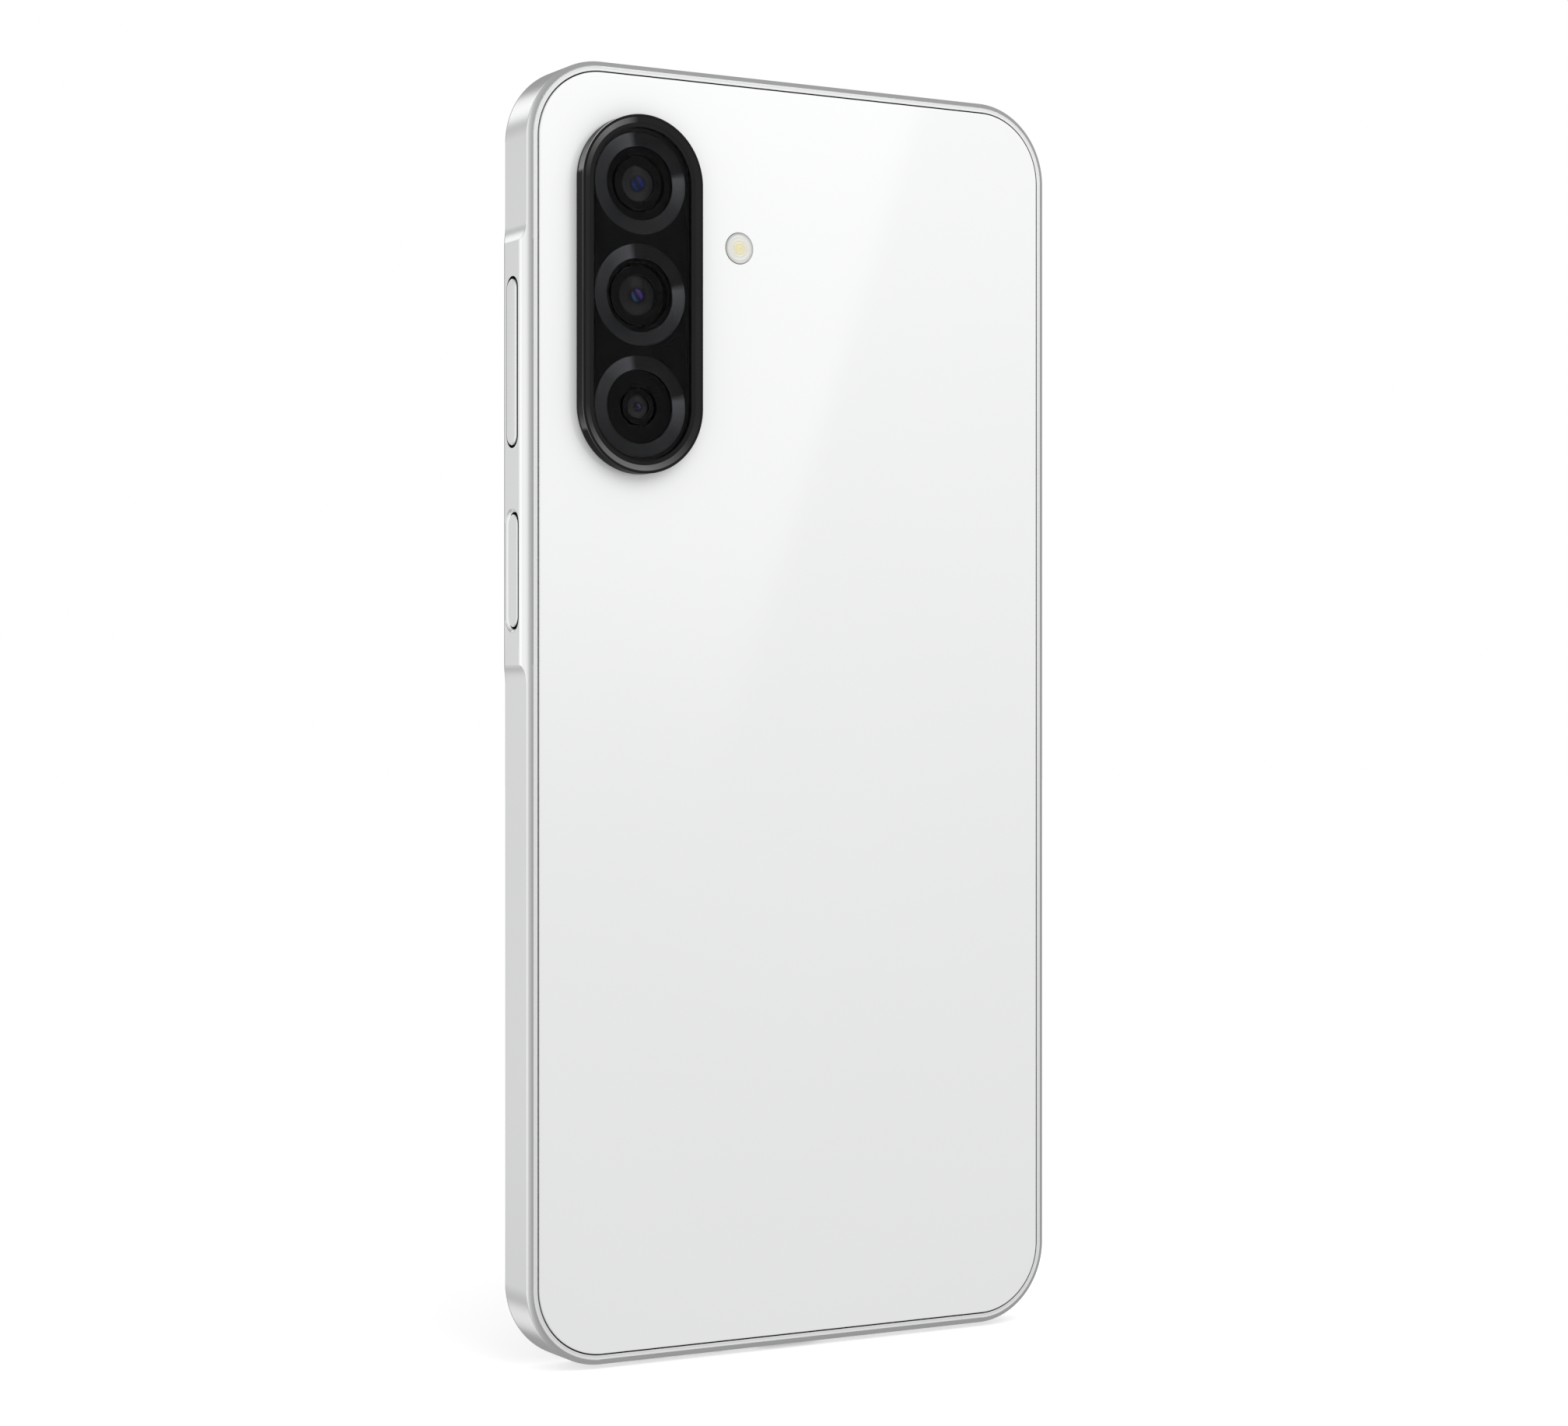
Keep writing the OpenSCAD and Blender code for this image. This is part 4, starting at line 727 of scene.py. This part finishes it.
def build_frame():
    """The frame: its section carried round the outline, then cut for keys, tray, port, slots and microphones."""
    points, normals = frame_path()
    on_side = (normals[:, 0] > 0.9999)
    height = np.where(on_side, ridge_height(points[:, 1] + body_h / 2), 0.0)
    p, y = frame_sections(height)
    flat = points[:, None] + normals[:, None] * p[..., None]
    grid = np.stack([flat[..., 0], y, flat[..., 1] + body_h / 2], -1)
    rows, cols = grid.shape[:2]
    obj = piece("frame_shell", [(grid.reshape(-1, 3), quads(rows, cols, True, True))],
                [frame_finish, rim_finish, painted_shade_finish], ("side_frame",), crease=20)
    gap, off_centre = 0.22, 0.1
    cut(obj, [rod(outline(key_w + 2 * gap, length + 2.4 * gap, key_w / 2 + gap, 16), half_w - wall - 1, ridge_x + 1,
                  (off_centre, z), SIDE) for z, length in ((volume_z, volume_len), (power_z, power_len))])
    dish = np.concatenate([[(-0.9, ridge_x - 0.3)], arc(-0.9, ridge_x + 0.35, 0.65, -90, -20, 8),
                           [(0.1, ridge_x + 1)]])
    dish[:, 0] += 0.72
    cut(obj, [swept(outline(key_w + 1.4, power_len + 1.7, key_w / 2 + 0.7, 20), dish - [0.55, 0], (0, power_z), SIDE,
                    capped=True)])
    tray_low, tray_high = box_mm("sim_tray")
    tray_y = (tray_low[1] + tray_high[1]) / 2
    tray_z = (tray_low[2] + tray_high[2]) / 2
    tray_h, tray_t = tray_high[2] - tray_low[2], tray_high[1] - tray_low[1]
    shell_low, shell_high = box_mm("usb_shell")
    mesh_low, mesh_high = box_mm("speaker_mesh")
    shell_w, shell_t = shell_high[0] - shell_low[0], shell_high[1] - shell_low[1]
    tools = [
        rod(outline(tray_t + 0.16, tray_h + 0.16, 0.5, 6), -half_w - 1, -half_w + 1.45, (tray_y, tray_z), SIDE),
        rod(outline(1.2, 14.5, 0.2, 3), -half_w - 0.5, -half_w + wall + 1, (tray_y, tray_z + 0.9), SIDE),
        swept(outline(shell_w + 0.2, shell_t + 0.2, shell_t / 2 + 0.09, 16),
              [(0.25, -1), (0.25, 0), (0.18, 0.08), (0, 0.2), (0, wall + 1)], (0, 0), END, capped=True),
    ]
    slots = 5
    pitch = 2.7
    slot_x = (mesh_low[0] + mesh_high[0]) / 2
    for k in range(slots):
        tools.append(swept(outline(2.2, 1.2, 0.599, 8), [(0.12, -1), (0.12, 0), (0, 0.12), (0, wall + 1)],
                           (slot_x + (k - (slots - 1) / 2) * pitch, 0), END, capped=True))
    mic_x, mic_top_x = middle("bottom_microphone")[0], middle("top_microphone")[0]
    hole_y = box_mm("bottom_microphone")[0][1] + 0.5
    tools.append(swept(circle(24), [(0.56, -1), (0.56, 0), (0.5, 0.06), (0.5, wall + 1)],
                       (mic_x, hole_y), END, capped=True))
    top_hole = [(0.5, body_h - wall - 1), (0.5, body_h - 0.06), (0.56, body_h), (0.56, body_h + 1)]
    tools.append(swept(circle(24), top_hole, (mic_top_x, hole_y), END, capped=True))
    ear_low, ear_high = box_mm("earpiece_mesh")
    tools.append(block((ear_low[0], -rim_y - 1, ear_low[2] - 0.2), (ear_high[0], front_glue_high[1] + 1, ear_high[2]),
                       0.15))
    cut(obj, tools)
    # Rim faces are level with the rim; the recess round the glass and the walls of the key holes get the dark finish
    # as painted shade
    mesh = obj.data
    centres = np.empty(len(mesh.polygons) * 3)
    facing = np.empty(len(mesh.polygons) * 3)
    mesh.polygons.foreach_get("center", centres)
    mesh.polygons.foreach_get("normal", facing)
    x, y, z = centres.reshape(-1, 3).T / MM
    across = facing.reshape(-1, 3)
    level = np.abs(y)
    far = (np.maximum(np.abs(x) - (half_w - corner_r), 0),
           np.maximum(np.abs(z - body_h / 2) - (body_h / 2 - corner_r), 0))
    inset = corner_r - np.where((far[0] > 0) & (far[1] > 0), np.hypot(*far), np.maximum(*far))
    recess = (inset > rim_inset - 0.01) & (level < rim_y - 0.04)
    near_key = ((x > half_w - wall + 0.1) & (x < ridge_x - 0.12) & (level < key_w / 2 + 0.35)
                & (np.abs(across[:, 0]) < 0.3)
                & (z > power_z - power_len / 2 - 0.6) & (z < volume_z + volume_len / 2 + 0.6))
    finish = np.where(recess | near_key, 2, level > rim_y - 0.09)
    mesh.polygons.foreach_set("material_index", finish.astype(np.int32))
    return obj


build_frame()


# ---------------------------------------------------------------- keys

def paint_shade_below(obj, depth):
    """Gives the walls that lie deeper than a depth under the ridge the second finish: painted shade in the gap."""
    mesh = obj.data
    centres, facing = np.empty(len(mesh.polygons) * 3), np.empty(len(mesh.polygons) * 3)
    mesh.polygons.foreach_get("center", centres)
    mesh.polygons.foreach_get("normal", facing)
    low = (centres[::3] / MM < ridge_x - depth) & (np.abs(facing[::3]) < 0.2)
    mesh.polygons.foreach_set("material_index", low.astype(np.int32))


def key_piece(z, length, face, crown, soft):
    """Key cap: stadium with a bevelled, slightly crowned face, and its flange inside the frame."""
    flange_out = ridge_x - 1.85
    slim = 0.06
    cap = np.concatenate([
        [(-key_w / 2, flange_out - 0.6), (0.45, flange_out - 0.6), (0.45, flange_out), (-slim, flange_out)],
        arc(-slim - soft, face - soft, soft, 0, 80, 6),
        [(-slim - soft - 0.02, face - 0.015), (-slim - soft - 0.06, face - 0.015), (-slim - soft - 0.08, face),
         (-0.8, face + crown * 0.5), (-1.1, face + crown * 0.9), (-key_w / 2 + 0.02, face + crown)],
    ])
    return [swept(outline(key_w, length, key_w / 2, 20), cap, (0, z), SIDE, capped=True)]


volume_face = volume_high[0]
power_face = power_high[0]
post = [(0, volume_low[0]), (0.6, volume_low[0]), (0.6, ridge_x - 2.4), (0, ridge_x - 2.4)]
posts = [swept(circle(16), post, (0, volume_z + side * (volume_len / 2 - 3.65)), SIDE, capped=False, closed=False)
         for side in (-1, 1)]
for name, shapes, node, body in (
        ("volume_rocker", key_piece(volume_z, volume_len, volume_face - 0.02, 0.015, 0.24) + posts,
         "volume_key", "volume_key_body"),
        ("power_button", key_piece(power_z, power_len, power_face + 0.08, 0.0, 0.1),
         "power_key", "power_key_body")):
    key = piece(name, shapes, [frame_finish, painted_shade_finish], (node,), body, 25)
    # Key walls down in the gap get the dark finish as painted shade
    paint_shade_below(key, 0.3)


# ---------------------------------------------------------------- rear glass and camera island

rear_size = (rear_high[0] - rear_low[0], rear_high[2] - rear_low[2], corner_r - glass_inset)
glass_middle = (0.0, body_h / 2)
glass_side = slab_profile(rear_low[1], rear_high[1], 0.04, 0.16, 6)
rear_glass = piece("rear_glass", [swept(outline(*rear_size, 32), glass_side, glass_middle, BACK, capped=True)],
                   glass_finish, ("rear_cover",))
flash_x, _, flash_z = middle("flash_lens")
flash_hole = [(2.035, rear_low[1] - 1), (2.035, rear_high[1] - 0.05), (2.085, rear_high[1]),
              (2.085, rear_high[1] + 1)]
cut(rear_glass, [
    rod(outline(island_w - 1.5, island_h - 1.5, (island_w - 1.5) / 2 - 0.001, 32), rear_low[1] - 1, rear_high[1] + 1,
        (island_x, island_z)),
    swept(circle(48), flash_hole, (flash_x, flash_z), BACK, capped=True)])

island_path = outline(island_w, island_h, island_w / 2 - 0.001, 48, 6)
top_y = island_high[1]
window_out = -(island_w - (window_high[0] - window_low[0])) / 2 - 0.02
lip_out, lip_y = window_out - 0.43, window_low[1] + 0.02
bezel_profile = np.array(
    [(-0.85, island_low[1]), (-0.85, rear_high[1] + 0.02), (-0.05, rear_high[1] + 0.02), (-0.05, rear_high[1] + 0.12),
     (0.0, rear_high[1] + 0.18), (0.0, rear_high[1] + 0.50), (0.0, top_y - 0.10), (-0.04, top_y - 0.03),
     (-0.09, top_y), (-0.33, top_y), (-0.37, top_y - 0.012), (-1.07, top_y - 0.225), (-1.11, top_y - 0.25),
     (window_out, top_y - 0.25), (window_out, lip_y), (lip_out, lip_y), (lip_out, island_low[1])])
upper_end = (island_x, 0, island_z + (island_h - island_w) / 2)
lower_end = (island_x, 0, island_z - (island_h - island_w) / 2)
# Painted sheen and highlight of each polished strip against the angle about the two ends, in turns from straight down
painted_sheen_bevel_finish = bevel_painted_sheen(
    "polished_inner_bevel_painted_sheen", upper_end, lower_end,
    [(0.0, 0.02), (0.25, 0.022), (0.31, 0.07), (0.40, 0.20), (0.455, 0.13), (0.485, 0.02), (0.75, 0.02), (1.0, 0.02)],
    [(0.0, 0.17), (0.12, 0.15), (0.20, 0.05), (0.25, 0.022), (0.76, 0.022), (0.84, 0.03), (0.92, 0.10), (1.0, 0.17)])
painted_sheen_wall_finish = bevel_painted_sheen(
    "gloss_outer_wall_painted_sheen", upper_end, lower_end,
    [(0.0, 0.012), (0.264, 0.02), (0.270, 0.30), (0.31, 0.20), (0.36, 0.05), (0.42, 0.03), (0.5, 0.01), (1.0, 0.01)],
    [(0.0, 0.02), (0.08, 0.008), (0.186, 0.01), (0.192, 0.16), (0.225, 0.04), (0.26, 0.02), (0.75, 0.01),
     (1.0, 0.02)], 0.02)
painted_highlight_edge_finish = bevel_painted_sheen(
    "outer_edge_painted_highlight", upper_end, lower_end,
    [(0.0, 0.10), (0.25, 0.14), (0.30, 0.30), (0.36, 0.75), (0.43, 0.85), (0.48, 0.20), (0.52, 0.02), (1.0, 0.05)],
    [(0.0, 0.05), (0.10, 0.06), (0.20, 0.16), (0.25, 0.14), (0.5, 0.05), (0.75, 0.01), (0.9, 0.02), (1.0, 0.05)])
bevel_strips = [0, 0, 0, 0, 0, 1, 3, 0, 0, 0, 2, 0, 0, 0, 0, 0, 0]
piece("island_bezel", [swept(island_path, bezel_profile, (island_x, island_z), BACK, closed=True)],
      [bezel_finish, painted_sheen_wall_finish, painted_sheen_bevel_finish, painted_highlight_edge_finish], ("camera_bezel",), crease=24,
      bands=bevel_strips)

window_size = window_high - window_low
piece("island_window", [swept(outline(window_size[0], window_size[2], window_size[0] / 2 - 0.001, 40, 4),
                              slab_profile(window_low[1], window_high[1], 0.03, 0.1, 4), (island_x, island_z), BACK,
                              capped=True)], lens_window, ("camera_glass",))

# Printed black deck under the window, open over each camera
cameras = {"top": "ultrawide_lens", "middle": "wide_camera_lens", "bottom": "macro_lens"}
deck_path = outline(window_size[0] - 0.9, window_size[2] - 0.9, window_size[0] / 2 - 0.451, 40)
deck = piece("island_deck", [rod(deck_path, window_low[1] - 0.12, window_low[1] - 0.02, (island_x, island_z))],
             black_ink)
deck_hole = [(6.44, window_low[1] - 1), (6.44, window_low[1] + 1)]
cut(deck, [swept(circle(96), deck_hole, (island_x, middle("camera_ring_" + spot)[2]), BACK, capped=True)
           for spot in cameras])

for spot in cameras:
    ring_low, ring_high = box_mm("camera_ring_" + spot)
    z = (ring_low[2] + ring_high[2]) / 2
    bore, rim = 9.35 / 2, (ring_high[0] - ring_low[0]) / 2
    face = ring_high[1]
    # Ring: a cone that falls 0.1 mm inwards, standing just proud of the printed deck
    profile = [(bore, face - 0.30), (rim, face - 0.30), (rim, face - 0.012), (rim - 0.03, face - 0.004)]
    profile += [(r, face - 0.004 - 0.012 * k) for k, r in enumerate(np.linspace(rim - 0.2, bore + 0.06, 7))]
    profile.append((bore, face - 0.11))
    piece("ring_" + spot, [swept(circle(160), profile, (island_x, z), BACK)],
          painted_sheen_ring("turned_ring_painted_sheen_" + spot, (island_x, 0, z)), ("camera_ring_" + spot,), crease=20)

seat_grey = (0.019, 0.019, 0.020)
# Pupil size, the blue and violet of each lens's painted reflection, and its seat colour
lens_painted_reflection_tints = {"top": (1.0, (0.008, 0.025, 0.10), (0.014, 0.018, 0.09), seat_grey),
              "middle": (0.9, (0.008, 0.035, 0.11), (0.04, 0.022, 0.13), tuple(0.7 * c for c in seat_grey)),
              "bottom": (0.45, (0.01, 0.01, 0.02), (0.05, 0.03, 0.10), seat_grey)}
for spot, lens in cameras.items():
    lens_low, lens_high = box_mm(lens)
    z = (lens_low[2] + lens_high[2]) / 2
    r = (lens_high[0] - lens_low[0]) / 2
    body = "focus_barrel" if spot == "middle" else HOME
    dome = 0.3
    ball = (r * r + dome * dome) / (2 * dome)
    edge = math.degrees(math.acos(r / ball))
    profile = np.concatenate([[(0, lens_low[1]), (r, lens_low[1])], arc(0, lens_high[1] - ball, ball, edge, 90, 12)])
    piece("coated_lens_" + spot, [swept(circle(72), profile, (island_x, z), BACK, closed=False)],
          lens_coating_painted_glow("lens_coating_" + spot, (island_x, 0, z), r, *lens_painted_reflection_tints[spot]), (lens,), body)


# ---------------------------------------------------------------- flash and front

flash_low, flash_high = box_mm("flash_lens")
flash_r = (flash_high[0] - flash_low[0]) / 2
ripple = np.linspace(flash_r - 0.14, 0, 29)
flash_profile = np.concatenate([
    [(0, flash_low[1]), (flash_r, flash_low[1]), (flash_r, flash_high[1] - 0.06),
     (flash_r - 0.04, flash_high[1] - 0.02), (flash_r - 0.10, flash_high[1] - 0.02)],
    np.stack([ripple, flash_high[1] - 0.035 - 0.01 * np.cos(ripple * 2 * np.pi / 0.42)], -1)])
piece("flash_window", [swept(circle(64), flash_profile, (flash_x, flash_z), BACK, closed=False)],
      flash_finish((flash_x, 0, flash_z)), ("flash_lens",), crease=40)

front_size = (front_high[0] - front_low[0], front_high[2] - front_low[2], corner_r - glass_inset)
front_side = slab_profile(front_low[1], front_high[1], 0.16, 0.04, 6)
piece("front_glass", [swept(outline(*front_size, 32), front_side, glass_middle, BACK, capped=True)],
      cover_glass, ("display_glass",))
panel_low, panel_high = box_mm("display_panel")
panel_w, panel_h = panel_high[0] - panel_low[0], panel_high[2] - panel_low[2]
ink_path = outline(front_size[0] - 0.1, front_size[1] - 0.1, front_size[2] - 0.05, 32)
ink = piece("screen_border", [rod(ink_path, front_high[1] - 0.03, front_high[1] - 0.012, glass_middle)],
            black_ink)
window_z = (panel_low[2] + panel_high[2]) / 2 + 0.6
cut(ink, [rod(outline(panel_w - 0.5, panel_h - 2.6, front_size[2] - 2.2, 24), front_high[1] - 1, front_high[1] + 1,
              (0, window_z))])

front_lens_low, front_lens_high = box_mm("front_camera_lens")
front_r = (front_lens_high[0] - front_lens_low[0]) / 2
front_z = (front_lens_low[2] + front_lens_high[2]) / 2
front_ball = (front_r ** 2 + 0.2 ** 2) / 0.4
front_edge = math.degrees(math.acos(front_r / front_ball))
dome = arc(0, 0, front_ball, front_edge, 90, 8)
dome[:, 1] = front_lens_low[1] + front_ball - dome[:, 1]
lens_side = np.concatenate([[(0, front_lens_high[1]), (front_r, front_lens_high[1])], dome])
piece("front_lens", [swept(circle(48), lens_side, (0, front_z), BACK, closed=False)],
      lens_coating_painted_glow("front_lens_coating", (0, 0, front_z), front_r, 0.35, (0.01, 0.03, 0.1), (0.04, 0.03, 0.12),
                   seat_grey), ("front_camera_lens",))


# ---------------------------------------------------------------- charging port

shell_low, shell_high = box_mm("usb_shell")
shell_w, shell_t = shell_high[0] - shell_low[0], shell_high[1] - shell_low[1]
shell_profile = np.array([(-0.30, shell_low[2] + 0.12), (-0.24, shell_low[2] + 0.02), (-0.10, shell_low[2]),
                          (0, shell_low[2] + 0.08), (0, shell_high[2]), (-0.3, shell_high[2])])
piece("port_shell", [swept(outline(shell_w, shell_t, shell_t / 2 - 0.001, 20), shell_profile, (0, 0), END),
                     rod(outline(shell_w - 0.6, shell_t - 0.6, shell_t / 2 - 0.301, 20), shell_high[2] - 0.3,
                         shell_high[2], (0, 0), END)],
      steel_finish, ("usb_shell",))
tongue_low, tongue_high = box_mm("usb_tongue")
tongue_w, tongue_t = tongue_high[0] - tongue_low[0], tongue_high[1] - tongue_low[1]
tongue_side = [(-0.12, tongue_low[2]), (0, tongue_low[2] + 0.15), (0, tongue_high[2])]
piece("port_tongue", [swept(outline(tongue_w, tongue_t, 0.3, 6), tongue_side, (0, 0), END, capped=True)],
      cover_finish, ("usb_tongue",))
pads = []
for k in range(12):
    x = (k - 5.5) * 0.5
    for side in (-1, 1):
        y0, y1 = sorted((side * (tongue_t / 2 - 0.02), side * (tongue_t / 2 + 0.015)))
        pads.append(block((x - 0.13, y0, tongue_low[2] + 0.35), (x + 0.13, y1, tongue_high[2] - 1.5), 0.008))
piece("port_contacts", pads, gold_finish)


# ---------------------------------------------------------------- floor, light and camera

def build_floor():
    """Flat white floor under the bottom edge."""
    reach, level = 3.0, -0.0006
    mesh = bpy.data.meshes.new("floor")
    corners = [(-reach, -reach, level), (reach, -reach, level), (reach, reach, level), (-reach, reach, level)]
    mesh.from_pydata(corners, [], [(0, 1, 2, 3)])
    obj = bpy.data.objects.new("floor", mesh)
    bpy.context.scene.collection.objects.link(obj)
    mat, tree, shader, base, grain = grained("pale_floor", (0.9, 0.9, 0.9), 0.6, 2.0, 0.01, 0.05, 0.99, 80.0)
    shader.inputs["Emission Color"].default_value = (1, 1, 1, 1)
    shader.inputs["Emission Strength"].default_value = 0.45
    mesh.materials.append(mat)
    obj.visible_glossy = False
    obj.visible_diffuse = False


def studio_world():
    """White to the camera, an even level to matt surfaces, and a few soft panels to glossy ones."""
    world = bpy.data.worlds.new("studio")
    bpy.context.scene.world = world
    world.use_nodes = True
    world.cycles.sampling_method = "NONE"
    tree = world.node_tree
    tree.nodes.clear()
    toward = add(tree, "ShaderNodeVectorMath", {0: add(tree, "ShaderNodeTexCoord").outputs["Generated"]},
                 operation="NORMALIZE").outputs[0]
    level = 0.32
    # Strength of each panel, and its edges: an axis, and the cosines between which the panel fades in along it
    tall = [((0, 0, 1), 0.38, 0.12), ((0, 0, -1), 0.36, 0.12)]
    panels = [
        (0.38, [((0.996, -0.087, 0), 0.05, 0.99)]),
        (0.42, [((0.996, -0.087, 0), 0.5, 0.98)]),
        (0.30, [((1, 0, 0), -0.15, 0.3), ((0, -1, 0), 0.2, 0.6)] + tall),
        (0.95, [((0.188, -0.853, 0.484), 0.968, 0.998)]),
        (0.62, [((0.188, -0.853, -0.484), 0.968, 0.998)]),
        (1.2, [((0.8363, 0.4664, 0.2885), -0.0006, 0.0006), ((0, 1, 0), 0.6, 0.7), ((-1, 0, 0), 0.27, 0.36),
               ((0, 0, 1), -0.05, 0.08)]),
    ]
    for strength, edges in panels:
        share = strength
        for axis, start, stop in edges:
            unit = tuple(np.array(axis) / np.linalg.norm(axis))
            dot = add(tree, "ShaderNodeVectorMath", {0: toward, 1: unit}, operation="DOT_PRODUCT").outputs["Value"]
            share = maths(tree, "MULTIPLY", share, spread(tree, dot, 0.0, 1.0, start, stop, True))
        level = maths(tree, "ADD", level, share)
    path = add(tree, "ShaderNodeLightPath")
    matt = 0.757
    soft = maths(tree, "ADD", maths(tree, "MULTIPLY", path.outputs["Is Diffuse Ray"], matt),
                 maths(tree, "MULTIPLY", maths(tree, "SUBTRACT", 1.0, path.outputs["Is Diffuse Ray"]), level))
    seen = maths(tree, "MAXIMUM", soft, path.outputs["Is Camera Ray"])
    backdrop = add(tree, "ShaderNodeBackground", {"Color": (1, 1, 1, 1), "Strength": seen})
    tree.links.new(backdrop.outputs[0], add(tree, "ShaderNodeOutputWorld").inputs[0])


def soft_panel(name, place, aim, width, height, watts, glossy):
    """Large area light at a place, turned towards a point."""
    light = bpy.data.lights.new(name, "AREA")
    light.shape, light.size, light.size_y, light.energy = "RECTANGLE", width, height, watts
    obj = bpy.data.objects.new(name, light)
    bpy.context.scene.collection.objects.link(obj)
    obj.location = place
    obj.rotation_euler = (Vector(aim) - Vector(place)).to_track_quat("-Z", "Y").to_euler()
    obj.visible_glossy = glossy
    obj.visible_transmission = glossy
    return obj


def build_camera():
    """Level camera at the key side of the rear face, at half the phone's height."""
    data = bpy.data.cameras.new("camera")
    data.sensor_width, data.lens = 36.0, 75.04
    obj = bpy.data.objects.new("camera", data)
    bpy.context.scene.collection.objects.link(obj)
    aim = Vector((0, 0, 0.082))
    obj.location = (0.21417, 0.37125, aim.z)
    obj.rotation_euler = (aim - obj.location).to_track_quat("-Z", "Y").to_euler()
    data.clip_start, data.clip_end = 0.01, 50
    bpy.context.scene.camera = obj


build_floor()
studio_world()
soft_panel("top_light", (-0.02, 0.22, 0.28), (0, 0, 0.12), 0.3, 0.2, 0.33, False)
build_camera()
bpy.context.scene.view_settings.view_transform = "Standard"
bpy.context.scene.view_settings.look = "None"
